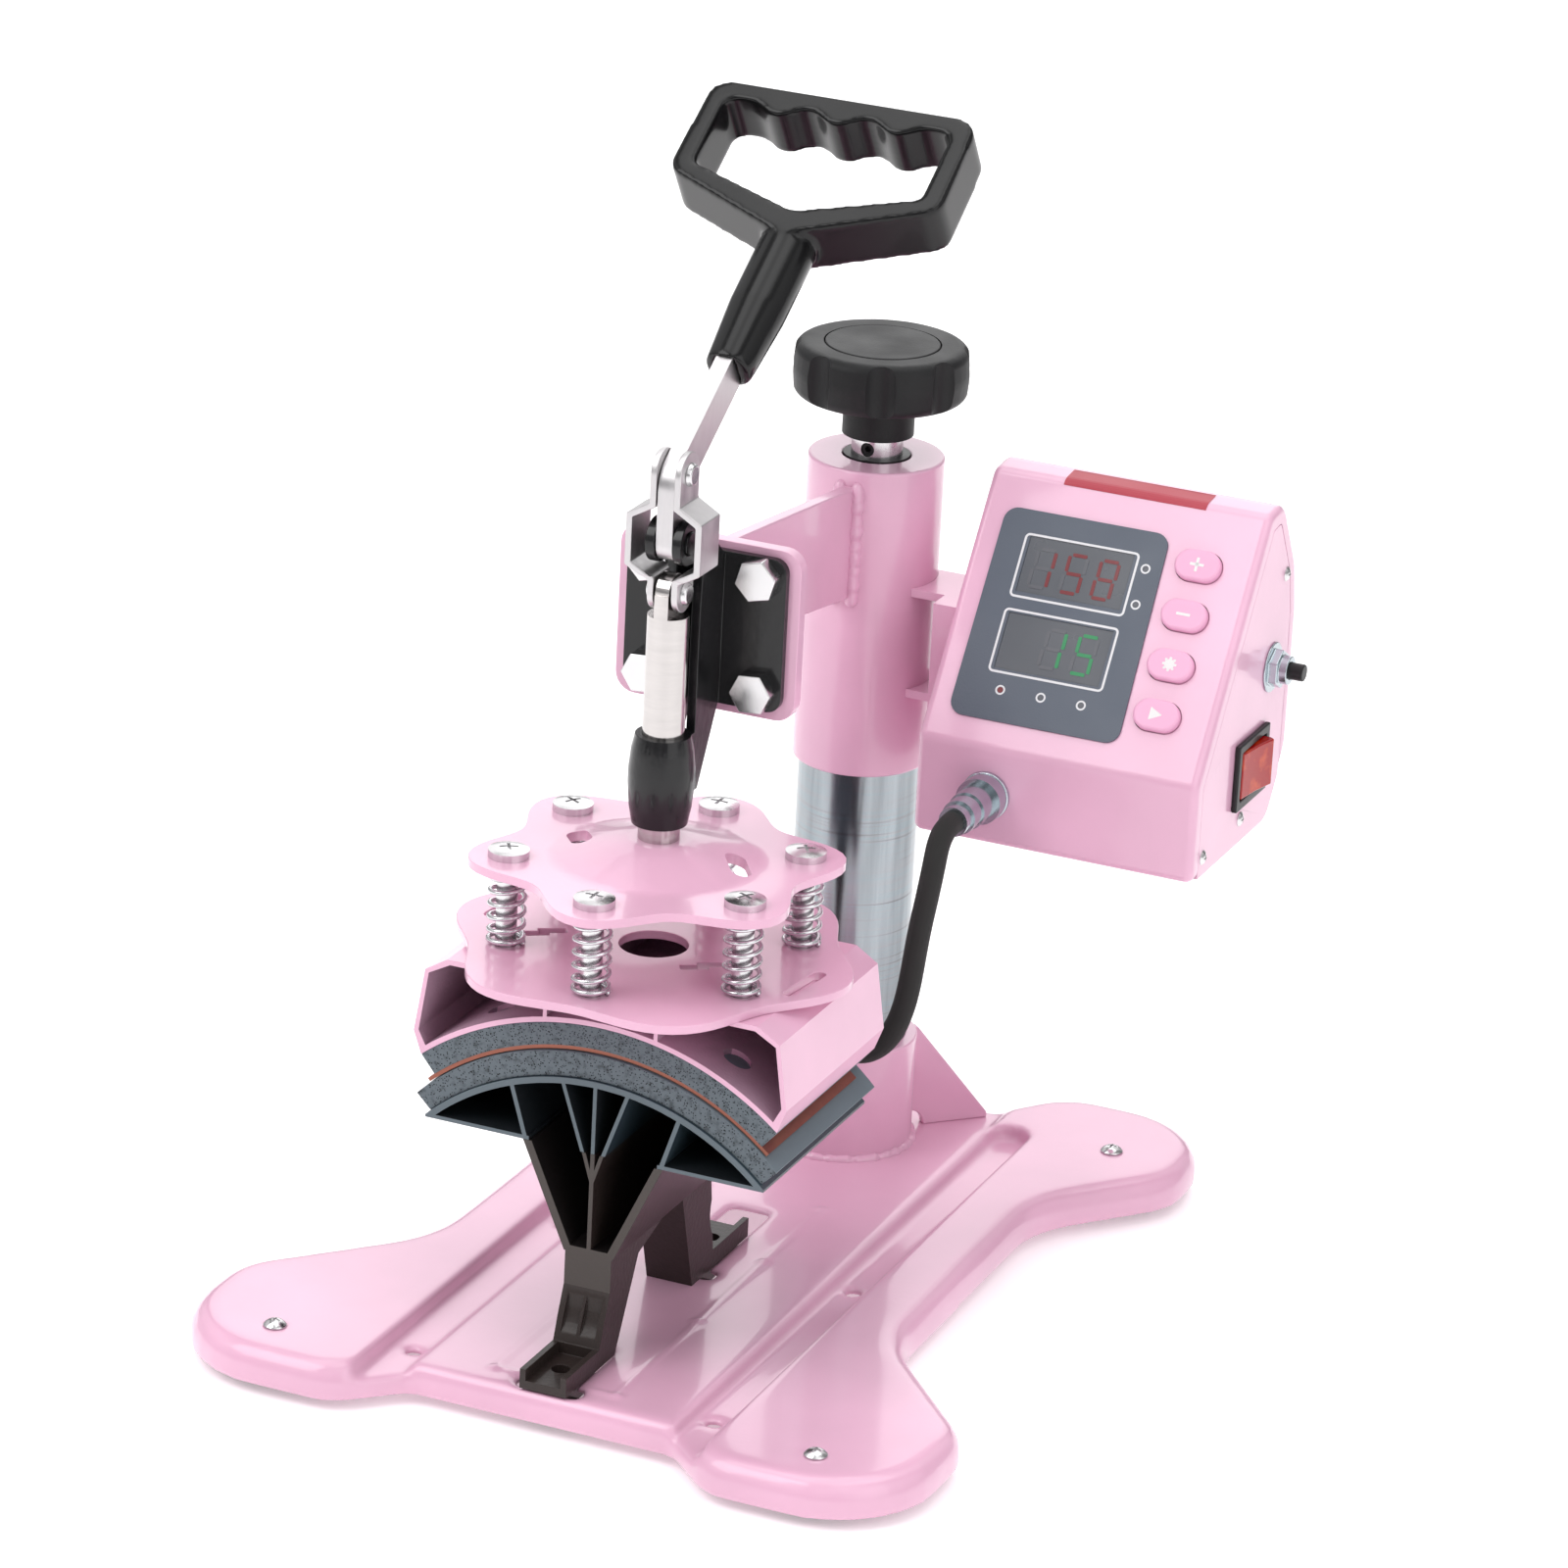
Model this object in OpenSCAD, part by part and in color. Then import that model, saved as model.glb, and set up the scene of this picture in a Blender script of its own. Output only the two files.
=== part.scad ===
// Cap heat press: a curved heated platen is pushed down on a saddle-shaped lower
// platen by a toggle clamp. Millimetres, +Z up, front of the machine towards -Y.
// Positions are worked out from the plunger's axis (x = 0, y = 0) and the ground (z = 0);
// place() then puts the origin under the middle of the whole machine.

/* [Base] */
// Half width of the base at its front feet
base_half_w = 134.5; // [125:0.5:145]
// Distance from the plunger axis to the front of the front lobes
base_front = 95.5; // [92:0.5:105]
// Distance from the plunger axis to the back of the rear lobes
base_back = 243; // [236:0.5:255]
// Half width of the base at its waist
waist_half_w = 87; // [82:0.5:95]
// Half width of the flat deck between the two sunk strips
deck_half_w = 48; // [44:0.5:50]
// Width of each sunk strip
strip_w = 15; // [12:0.5:17]
// Height of the lobes above the ground
lobe_top = 17; // [16:0.5:20]
// Depth of the deck below the lobes
deck_drop = 2; // [1:0.5:3]
// Depth of the strips below the lobes
strip_drop = 6; // [4:0.5:7]
// Thickness of the pressed sheet
sheet = 3; // [2:0.1:3]
// How far the rubber feet stand out below the rim
foot_drop = 3; // [2:0.5:6]
// Width of the slot that holds the stand
slot_w = 14; // [12:0.5:16]
// Radius of the four tool holes in the strips
tool_hole_r = 2.5; // [2:0.25:3.5]
// Spacing of the tool holes across the base
tool_hole_x = 110; // [109:0.5:112]
// Spacing of the tool holes from front to back
tool_hole_y = 116; // [100:1:130]

/* [Column] */
// Distance from the plunger axis back to the column axis
column_y = 172; // [168:0.5:185]
// Outside radius of the column tube
column_r = 21.5; // [20:0.25:22]
// Wall of the column tube
column_wall = 2.5; // [2:0.25:4]
// Height of the top of the column tube
column_top = 256; // [250:1:258]
// Height of the top of the welded socket
socket_top = 55.5; // [48:0.5:70]
// Outside radius of the welded socket
socket_r = 26; // [25:0.25:28]

/* [Carriage] */
// Height of the bottom of the sliding sleeve
sleeve_bottom = 160; // [150:1:170]
// Height of the top of the sliding sleeve
sleeve_top = 271.5; // [270:0.5:276]
// Wall of the sliding sleeve
sleeve_wall = 2.25; // [2:0.25:4]
// Running clearance of every turning or sliding fit
running = 0.05; // [0.02:0.01:0.09]
// Height of the middle of the hand knob
knob_z = 302; // [299:0.5:306]
// Radius of the hand knob
knob_r = 31; // [26:0.5:36]
// Height of the knob's grip
knob_h = 19; // [17:0.5:21]
// Radius of the lift screw
screw_r = 8; // [6:0.25:8]

/* [Clamp] */
// Height of the pin that the handle turns on
pivot_z = 289.7; // [286:0.1:291]
// Distance from the handle pin to the link's upper pin
crank = 23.4; // [23:0.1:24]
// Distance between the link's two pins
link_len = 40.6; // [40:0.1:41]
// Radius of the plunger rod
rod_r = 7; // [6:0.25:7.5]
// Height of the top of the barrel that guides the plunger
barrel_top = 223; // [215:0.5:226]
// Height of the bottom of the barrel
barrel_bottom = 192; // [191:0.5:198]
// Distance between bolts on the clamp bracket, both ways
bolt_pitch = 39.2; // [36:0.1:42]
// Front face of the clamp bracket behind the plunger axis
bracket_y = 29; // [28:0.5:31]
// Lean of the handle from upright when it is open
handle_lean = 56; // [50:0.5:60]
// Width of the handle grip across its widest point
grip_w = 98; // [92:1:108]
// Thickness of the handle grip
grip_t = 20; // [16:0.5:22]

/* [Upper platen] */
// Half width of the heater housing at its widest
housing_half_w = 67.5; // [66:0.5:70]
// Half depth of the heater housing from front to back
platen_half_d = 40.5; // [36:0.5:42]
// Underside of the spring plate
spring_plate_z = 145.5; // [145:0.5:147]
// Thickness of the spring plate
spring_plate_t = 3; // [2.5:0.5:3.5]
// Length of the pressure springs with the clamp open
spring_len = 28; // [27:0.5:28.5]
// Radius of the circle that the six spring screws stand on
screw_circle_r = 49.2; // [47:0.1:51]
// Outside radius of a pressure spring
spring_r = 6.7; // [5.5:0.1:7]
// Wire diameter of a pressure spring
wire_d = 1.7; // [1.2:0.1:2]
// Radius of the spring screws' shanks
post_r = 3.6; // [3:0.1:3.8]
// Radius of the heater housing's curved underside
arch_r = 101.5; // [100:0.5:103]
// Height of the highest point of that underside
crown_z = 133; // [132.5:0.1:133.5]
// Thickness of the upper foam pad
pad_t = 8; // [7:0.1:8.2]
// Thickness of the heating element
element_t = 1.3; // [1:0.1:1.5]

/* [Lower platen] */
// Gap between the upper and lower pads when they rest together
pad_gap = 0.4; // [0.3:0.05:0.6]
// Half width of the lower platen
saddle_half_w = 61.5; // [58:0.5:63]
// Half depth of the lower platen
saddle_half_d = 42; // [38:0.5:43]
// Radius of the lower platen's curved top
saddle_r = 88.5; // [87:0.5:90]
// Height of the highest point of the lower platen's shell
saddle_crown_z = 114.3; // [113.8:0.1:114.6]
// Height of the lower platen's flat underside
saddle_bottom_z = 88.5; // [87:0.5:89]
// Wall of the lower platen and of the stand
cast_wall = 2.2; // [1.8:0.1:2.6]
// Width of the stand's foot
foot_w = 17; // [16.5:0.5:18]

/* [Control box] */
// Left side of the control box
box_left = 45; // [44:0.5:48]
// Width of the control box between its side panels
box_w = 99; // [95:0.5:110]
// Front of the control box behind the plunger axis
box_front = 116; // [112:0.5:120]
// Height of the control box's underside
box_bottom = 159; // [155:0.5:162]
// Height of its upright lower front
box_lip = 35; // [33:0.5:38]
// Length of its sloped face
slope_len = 98; // [97:0.5:102]
// Slope of that face from level
slope_a = 55; // [53:0.5:57]
// Depth of the box from front to back
box_d = 90; // [88:0.5:96]
// Sheet thickness of the box
box_sheet = 1.5; // [1.2:0.1:2]
// Travel of a push button
button_travel = 1.2; // [0.8:0.1:1.4]

/* [Hidden] */
$fn = 48;

pink = "#e5aed1";
dark = "#1b1b1c";
steel = "#c9c6c9";
slate = "#4a5a66";

// Overcut of a tool past the face that it goes through
over = 1;
// Gap between still pieces that are curved or that would otherwise rub
air = 0.3;

// Heights on the base
rim_z = foot_drop;
deck_z = lobe_top - deck_drop;
strip_z = lobe_top - strip_drop;
deck_front = 76;
deck_back = 218;
rim_wall = 5;
// The rim rolls over in steps: how far each is set in, and how far below the top it ends
rim_steps = [[0, 6], [0.8, 4], [2, 2], [3.6, 0.8], [5.5, 0]];
strip_mid = deck_half_w + strip_w / 2;
front_foot = [98.5, -75];
rear_foot = [94, 201];

// Stand's feet, and the keys below them: where each starts and ends
leg_front = -74;
leg_pad_back = 73;
stand_keys = [[leg_front + 4, -48], [36, 68]];
key_head = 5;
stand_travel = 15;
slot_gap = 1;
slot_tail = 12;

// Sleeve and lift
sleeve_in = column_r + running;
sleeve_out = sleeve_in + sleeve_wall;
cap_t = 9;
spindle_r = 9;
bearing_r = 11.7;
hub_r = 12.5;
hub_h = 13.5;
hub_bottom = knob_z - knob_h / 2 - hub_h;
cap_r = 20;

// Clamp
link_top = pivot_z + crank;
link_bottom = link_top - link_len;
arm_t = 5.8;
arm_d = 13;
ear_in = arm_t / 2 + air;
ear_t = 3.2;
tongue_t = 5;
strap_t = 2.2;
strap_in = ear_in;
strap_bulge = 11.2;
pin_r = 3;
pivot_r = 4;
bend_z = link_top - 2.4;
neck_start = 46.8;
grip_start = 97;
neck_r = 9.8;
bracket_t = 3;
backing_t = 5;
bolt_mid_z = 252.2;
bracket_half_w = bolt_pitch / 2 + 9;
bracket_half_h = bolt_pitch / 2 + 7;

// Spider and spring plate
spring_plate_top = spring_plate_z + spring_plate_t;
spider_z = spring_plate_top + spring_len;
spider_t = 3;
dome_h = 7;
spider_top = spider_z + spider_t;
shade_z = crown_z - arch_r;
pad_r = arch_r - pad_t;
element_r = pad_r - element_t;
lower_pad_r = element_r - pad_gap;
tip_x = housing_half_w - 3;
pad_angle = asin(tip_x / arch_r);
saddle_z = saddle_crown_z - saddle_r;

// Heater lead, chosen by hand from the plug's end to the gland on the housing's back
lead_r = 4;
lead_route = [[70, 86, 177], [70, 81, 177], [70.2, 76, 176], [70.8, 71, 173], [71.4, 67.5, 168],
  [71, 66, 162], [70, 65.8, 155], [68.8, 65.8, 148], [67.8, 65.8, 141], [67, 65.8, 134],
  [66.2, 65.8, 127], [65.2, 65.8, 120], [63.6, 65.8, 113], [61, 65.8, 106], [57, 65.8, 100],
  [51.5, 65.8, 96], [45, 65.6, 95.5], [39, 65, 98.5], [34.5, 64.2, 103.5], [31.8, 63.4, 109.5],
  [30.4, 62.8, 116], [29.6, 61.6, 122.5], [29.2, 58.8, 128.5], [29, 54, 134], [29, 48.5, 136],
  [29, 43.5, 136]];
gland_x = 29;
gland_z = 136;

// Control box
slope_z = box_bottom + box_lip;
box_right = box_left + box_w;
panel_t = 1.5;
panel_lip = 6.2;
ledge_t = 3;
panel_out = box_right + panel_t;
top_y = box_front + slope_len * cos(slope_a);
top_z = slope_z + slope_len * sin(slope_a);
box_back = box_front + box_d;
socket_x = box_left + 25;
socket_z = box_bottom + 18;
button_x = box_left + 80;
button_s = [76, 58, 40, 22];
button_l = 16.5;
button_d = 11;
breaker_y = box_front + 68;
breaker_z = box_bottom + 57.5;
rocker_y = box_front + 51;
rocker_z = box_bottom + 26.5;
rocker_l = 30;
rocker_h = 24;
reset_r = 3;
screw_spots = [[box_front + 76, box_bottom + 89], [box_front + 46, box_bottom + 9],
  [box_front + 10, box_bottom + 7]];
window_x = box_left + 18;

// Middle of the whole machine, where the origin is put
reset_tip = panel_out + 12;
origin_x = (reset_tip - base_half_w) / 2;
origin_y = (base_back - base_front) / 2;

// ---- Helpers -------------------------------------------------------------

module place() translate([-origin_x, -origin_y, 0]) children();

// Extrudes a section drawn in X and Z from y0 to y1
module along_y(y0, y1)
  translate([0, y1, 0]) rotate([90, 0, 0]) linear_extrude(y1 - y0) children();

// Extrudes a section drawn in Y and Z from x0 to x1
module along_x(x0, x1)
  translate([x0, 0, 0]) rotate([90, 0, 90]) linear_extrude(x1 - x0) children();

// Points of a round corner of radius r at b, between the edges from a and to c
function corner(a, b, c, r, n = 6) =
  let (u = (a - b) / norm(a - b), v = (c - b) / norm(c - b), half = acos(u * v) / 2,
    mid = b + (u + v) / norm(u + v) * r / sin(half),
    from = b + u * r / tan(half) - mid, to = b + v * r / tan(half) - mid,
    a0 = atan2(from.y, from.x), turn = (atan2(to.y, to.x) - a0 + 540) % 360 - 180)
  [for (i = [0:n]) mid + r * [cos(a0 + turn * i / n), sin(a0 + turn * i / n)]];

// A polygon whose corners, given as [x, y, radius], are rounded
function rounded(p, n = 6) = let (k = len(p)) [for (i = [0:k - 1])
  let (a = p[(i + k - 1) % k], b = p[i], c = p[(i + 1) % k])
  each corner([a.x, a.y], [b.x, b.y], [c.x, c.y], b.z, n)];

// A straight bar of width w between two points of a section
module bar(p, q, w)
  translate(p) rotate(atan2(q.y - p.y, q.x - p.x))
    translate([0, -w / 2]) square([norm(q - p), w]);

// A straight hole or bar with round ends, l long over all and d wide, along X
module obround(l, d, h) {
  translate([-(l - d) / 2, -d / 2, 0]) cube([l - d, d, h]);
  for (s = [-1, 1]) translate([s * (l - d) / 2, 0, 0]) cylinder(d = d, h = h);
}

module hex_bolt(r, head_af, head_h, length) {
  cylinder(r = head_af / sqrt(3), h = head_h, $fn = 6);
  translate([0, 0, -length]) cylinder(r = r, h = length);
}

// Round-headed screw with a cross recess; dome is the radius of the head's top
module pan_screw(r, head_r, head_h, length, dome) {
  difference() {
    intersection() {
      cylinder(r = head_r, h = head_h);
      translate([0, 0, head_h - dome]) sphere(r = dome);
    }
    for (a = [0, 90]) rotate(a) translate([-head_r * 0.45, -head_r * 0.08, head_h - 1.2])
      cube([head_r * 0.9, head_r * 0.16, over + 1.2]);
  }
  translate([0, 0, -length]) cylinder(r = r, h = length);
}

module at_spring_screws()
  for (k = [0:5]) rotate(30 + 60 * k) translate([screw_circle_r, 0, 0]) children();

module on_slope() translate([0, box_front, slope_z]) rotate([slope_a, 0, 0]) children();

// ---- Base ----------------------------------------------------------------

half_outline = [[deck_half_w, -deck_front, 6], [68, -base_front, 20],
  [base_half_w, -base_front, 38], [base_half_w, -34, 28], [waist_half_w + 1, 19, 45],
  [waist_half_w - 1, 148, 45], [base_half_w - 12.5, 192, 28],
  [base_half_w - 12.5, base_back, 36], [60, base_back, 26], [42, deck_back, 8]];

function mirrored(p) = [for (i = [len(p) - 1:-1:0]) [-p[i].x, p[i].y, p[i].z]];

module outline(inset = 0)
  offset(delta = -inset) polygon(rounded(concat(half_outline, mirrored(half_outline)), 7));

module strips(grow, z0, z1)
  for (s = [-1, 1]) translate([s * strip_mid, 0, z0]) {
    translate([-strip_w / 2 - grow, -base_front - over, 0])
      cube([strip_w + 2 * grow, base_front + 198, z1 - z0]);
    translate([0, 197, 0]) cylinder(r = strip_w / 2 + grow, h = z1 - z0);
  }

module base_plate() color(pink) difference() {
  union() for (s = rim_steps)
    translate([0, 0, rim_z]) linear_extrude(lobe_top - s[1] - rim_z) outline(s[0]);
  // Sunk deck and strips
  translate([-deck_half_w, -base_front - over, deck_z])
    cube([2 * deck_half_w, base_front + base_back + 2 * over, lobe_top]);
  strips(0, strip_z, lobe_top + over);
  // Hollow underside, one sheet below each level
  translate([0, 0, rim_z - over]) linear_extrude(strip_z - sheet - rim_z + over)
    outline(rim_wall);
  translate([0, 0, strip_z - sheet - over]) linear_extrude(deck_z - strip_z + over)
    intersection() {
      outline(rim_wall);
      translate([-deck_half_w + sheet, -base_front])
        square([2 * (deck_half_w - sheet), base_front + base_back]);
    }
  translate([0, 0, strip_z - sheet - over]) linear_extrude(strip_drop + over)
    difference() {
      outline(rim_wall);
      translate([-strip_mid - strip_w / 2 - sheet, -base_front])
        square([2 * strip_mid + strip_w + 2 * sheet, base_front + base_back]);
    }
  // One slot under each of the stand's feet, wider at its front end where the keys drop in
  for (key = stand_keys) {
    translate([-slot_w / 2, key[0] - slot_gap, strip_z - sheet])
      cube([slot_w, key[1] - key[0] + stand_travel + 2 * slot_gap + (key[0] > 0 ? slot_tail : 0),
        lobe_top]);
    translate([-foot_w / 2 - 3, key[0] - slot_gap, strip_z - sheet])
      cube([foot_w + 6, key_head + 2 * slot_gap, lobe_top]);
  }
  // Tool holes and foot screw holes
  for (x = [-1, 1], y = [-1, 1]) translate([x * tool_hole_x / 2, y * tool_hole_y / 2, 0])
    cylinder(r = tool_hole_r, h = lobe_top + over);
  for (s = [-1, 1], p = [front_foot, rear_foot]) translate([s * p.x, p.y, 0])
    cylinder(r = 2.2, h = lobe_top + over);
}

module at_feet() for (s = [-1, 1], p = [front_foot, rear_foot])
  translate([s * p.x, p.y, 0]) children();

module rubber_feet() color(dark) at_feet() difference() {
  cylinder(r1 = 10, r2 = 11, h = lobe_top - sheet);
  translate([0, 0, 4]) cylinder(r = 2.2, h = lobe_top);
}

module foot_screws() color(steel) at_feet()
  translate([0, 0, lobe_top]) pan_screw(2, 4, 2.4, lobe_top - 6, 5);

module column_socket() color(pink) translate([0, column_y, deck_z]) difference() {
  cylinder(r = socket_r, h = socket_top - deck_z);
  translate([0, 0, -over]) cylinder(r = column_r + running, h = socket_top);
}

module socket_gussets() color(pink) for (s = [-1, 1])
  translate([0, column_y, deck_z]) rotate(s > 0 ? 45 : 135) along_gusset();

module along_gusset() difference() {
  translate([0, 2, 0]) rotate([90, 0, 0]) linear_extrude(4)
    polygon([[socket_r + 0.2, 0], [57, 0], [57, 2], [socket_r + 2, socket_top - deck_z - 2],
      [socket_r + 0.2, socket_top - deck_z - 2]]);
  translate([socket_r, 3, 0]) rotate([90, 0, 0]) cylinder(r = 6, h = 6);
}

module column_tube() color(steel) translate([0, column_y, deck_z]) difference() {
  cylinder(r = column_r, h = column_top - deck_z);
  translate([0, 0, -over]) cylinder(r = column_r - column_wall, h = column_top);
}

module column_nut() color(steel) translate([0, column_y, column_top - 20]) difference() {
  cylinder(r = column_r - column_wall - running, h = 20);
  translate([0, 0, -over]) cylinder(r = screw_r + running, h = 22);
}

// ---- Stand and lower platen ------------------------------------------------

v_top = 25.5;
v_bottom = 9;
v_low_z = 52;
v_back = 34;

module v_section(inset)
  polygon([[-v_bottom + inset, v_low_z + inset], [v_bottom - inset, v_low_z + inset],
    [v_top - inset, saddle_bottom_z + over * inset], [-v_top + inset, saddle_bottom_z + over * inset]]);

module leg_profile() difference() {
  union() {
    // Front foot, front leg, rear leg and rear pad
    translate([leg_front, deck_z]) square([34, 7]);
    polygon([[-51, deck_z], [-36, deck_z], [-20, 46], [0, 52], [v_back, 52], [v_back + 4, v_low_z + 4],
      [-saddle_half_d, v_low_z + 4], [-saddle_half_d, 40], [-46, 30]]);
    polygon([[14, 54], [26, deck_z], [44, deck_z], [v_back + 4, 54]]);
    translate([26, deck_z]) square([leg_pad_back - 26, 7]);
  }
  translate([-61, 37]) circle(r = 15, $fn = 40);
  translate([54, 37]) circle(r = 15, $fn = 40);
}

module stand() color(dark) difference() {
  union() {
    along_y(-saddle_half_d, v_back) v_section(0);
    intersection() {
      along_x(-foot_w / 2, foot_w / 2) leg_profile();
      translate([-foot_w / 2, leg_front, deck_z]) cube([foot_w, 150, 80]);
    }
    // T-shaped keys that drop through the slots and hold the stand once it has slid back
    for (key = stand_keys) {
      translate([-slot_w / 2 + air, key[0], deck_z - sheet - 3.6])
        cube([slot_w - 2 * air, key[1] - key[0], sheet + 3.7]);
      translate([-foot_w / 2 - 1.5, key[0], deck_z - sheet - 3.6])
        cube([foot_w + 3, key_head, 3.2]);
    }
  }
  // Open front of the V, with its ribs left standing
  difference() {
    along_y(-saddle_half_d - over, v_back - cast_wall) v_section(cast_wall);
    along_y(-saddle_half_d, v_back) {
      bar([0, v_low_z], [0, saddle_bottom_z], 1.6);
      for (s = [-1, 1]) bar([0, 78], [s * 3.6, saddle_bottom_z + 1], 1.4);
    }
  }
  // Channel down the front leg and along both feet
  translate([-foot_w / 2 + cast_wall, leg_front - over, deck_z + 3])
    cube([foot_w - 2 * cast_wall, 26, 10]);
  translate([-foot_w / 2 + cast_wall, v_back + 12, deck_z + 3])
    cube([foot_w - 2 * cast_wall, 40, 10]);
  // Hollow front of the front leg, with a thin rib down its middle
  for (side = [-foot_w / 2 + cast_wall, 0.6])
    along_x(side, side + foot_w / 2 - cast_wall - 0.6) intersection() {
      translate([-61, 37]) circle(r = 18.2, $fn = 48);
      translate([-61, deck_z + 3]) square([30, v_low_z - deck_z - 5]);
    }
  for (y = [-60, 60]) translate([0, y, 0]) cylinder(r = 3.2, h = 40);
}

module saddle_segment(r, low)
  intersection() {
    translate([0, saddle_z]) circle(r = r, $fn = 120);
    translate([-saddle_half_w, low]) square([2 * saddle_half_w, 60]);
  }

module lower_platen() color(slate) {
  along_y(-saddle_half_d, saddle_half_d) difference() {
    saddle_segment(saddle_r, saddle_bottom_z);
    difference() {
      union() {
        saddle_segment(saddle_r - cast_wall, saddle_bottom_z + 1.4);
        translate([-v_top + cast_wall, saddle_bottom_z - over])
          square([2 * (v_top - cast_wall), 10]);
      }
      // Five ribs fan down into the stand
      for (s = [-1, 0, 1]) bar([s * 3.4, saddle_bottom_z - over], [s * 12.5, 114], 1.4);
      for (s = [-1, 1]) bar([s * (v_top - 1), saddle_bottom_z], [s * (v_top + 7), 114], 1.6);
    }
  }
  along_y(saddle_half_d - cast_wall, saddle_half_d)
    saddle_segment(saddle_r - 0.5, saddle_bottom_z + 0.2);
}

// A band between two arcs, cut off on both sides at an angle from upright
module arch_band(r_out, r_in, z_in, half_angle)
  intersection() {
    difference() {
      translate([0, shade_z]) circle(r = r_out, $fn = 120);
      translate([0, z_in]) circle(r = r_in, $fn = 120);
    }
    polygon([[0, shade_z], for (s = [-1, 1])
      [0, shade_z] + 2 * arch_r * [s * sin(half_angle), cos(half_angle)]]);
  }

module lower_pad() color("#7b858b")
  along_y(-saddle_half_d + 1, saddle_half_d - 1)
    arch_band(lower_pad_r, saddle_r, saddle_z, pad_angle + 6);

// ---- Carriage ------------------------------------------------------------

module carriage_sleeve() color(pink) translate([0, column_y, 0]) difference() {
  translate([0, 0, sleeve_bottom]) cylinder(r = sleeve_out, h = sleeve_top - sleeve_bottom, $fn = 64);
  translate([0, 0, sleeve_bottom - over])
    cylinder(r = sleeve_in, h = sleeve_top - cap_t - sleeve_bottom + over, $fn = 64);
  cylinder(r = bearing_r, h = sleeve_top + over);
}

module top_bearing() color(dark) translate([0, column_y, sleeve_top - cap_t]) difference() {
  cylinder(r = bearing_r - running, h = cap_t + 0.3);
  translate([0, 0, -over]) cylinder(r = spindle_r + running, h = cap_t + 3);
}

plate_back = bracket_y + bracket_t + backing_t;

module arm_web() color(pink) difference() {
  along_x(-2.5, 2.5) difference() {
    polygon([[plate_back, 278], [plate_back, 242], [column_y, 222], [column_y, 268],
      [column_y - sleeve_out - 2, 266]]);
    translate([plate_back + 54, 206]) circle(r = 28, $fn = 60);
  }
  translate([0, column_y, 0]) cylinder(r = sleeve_out, h = 400, $fn = 64);
}

module bolt_holes(r) for (x = [-1, 1], z = [-1, 1])
  translate([x * bolt_pitch / 2, 0, bolt_mid_z + z * bolt_pitch / 2])
    rotate([90, 0, 0]) cylinder(r = r, h = 200, center = true);

module rounded_plate(half_w, low, high, r) polygon(rounded([[-half_w, low, r], [half_w, low, r],
  [half_w, high, r], [-half_w, high, r]]));

module backing_plate() color(pink) difference() {
  along_y(bracket_y + bracket_t, plate_back)
    rounded_plate(bracket_half_w + 4, bolt_mid_z - bracket_half_h - 3.5,
      bolt_mid_z + bracket_half_h + 2.5, 7);
  bolt_holes(4.2);
}

module ear_profile() polygon([[0, pivot_z + 7.5], [10, pivot_z + 5.5], [bracket_y, 278],
  [bracket_y, 226], [15, barrel_bottom + 8], [11, barrel_bottom + 8], [11, 262],
  [12, pivot_z - 9], [0, pivot_z - 7.5]]);

module clamp_bracket() color(dark) difference() {
  union() {
    along_y(bracket_y, bracket_y + bracket_t)
      rounded_plate(bracket_half_w, bolt_mid_z - bracket_half_h, bolt_mid_z + bracket_half_h, 5);
    for (s = [-1, 1]) {
      translate([s > 0 ? 0 : -2 * ear_in - ear_t, 0, 0]) along_x(ear_in, ear_in + ear_t) ear_profile();
      translate([s > 0 ? ear_in : -ear_in - ear_t, 0, pivot_z]) rotate([0, 90, 0])
        cylinder(r = 7.5, h = ear_t);
    }
  }
  bolt_holes(4.2);
  translate([-20, 0, pivot_z]) rotate([0, 90, 0]) cylinder(r = pivot_r + running, h = 40);
}

module barrel_guide() color(dark) difference() {
  union() {
    rotate_extrude() polygon([[0, barrel_bottom], [9.3, barrel_bottom], [10.4, barrel_bottom + 6],
      [11.1, barrel_bottom + 14], [11.1, barrel_bottom + 19], [10.4, barrel_top - 5],
      [9.3, barrel_top], [0, barrel_top]]);
    // Neck that joins the barrel to the two ears
    translate([-ear_in - ear_t, 7.6, barrel_bottom + 8])
      cube([2 * (ear_in + ear_t), 3.4, barrel_top - barrel_bottom - 10]);
  }
  translate([0, 0, barrel_bottom - over])
    cylinder(r = rod_r + running, h = barrel_top - barrel_bottom + 2 * over);
}

module handle_pivot_pin() color(steel) translate([-7.2, 0, pivot_z]) rotate([0, 90, 0])
  cylinder(r = pivot_r, h = 14.4);

module bracket_bolts() color(steel) for (x = [-1, 1], z = [-1, 1])
  translate([x * bolt_pitch / 2, bracket_y, bolt_mid_z + z * bolt_pitch / 2]) rotate([90, 0, 0])
    rotate(z > 0 ? 14 : 4) hex_bolt(4, 13, 5.3, 18);

module bracket_nuts() color(steel) for (x = [-1, 1], z = [-1, 1])
  translate([x * bolt_pitch / 2, plate_back, bolt_mid_z + z * bolt_pitch / 2])
    rotate([-90, 0, 0]) difference() {
      cylinder(r = 13 / sqrt(3), h = 6.5, $fn = 6);
      translate([0, 0, -over]) cylinder(r = 4.1, h = 9);
    }

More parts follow.
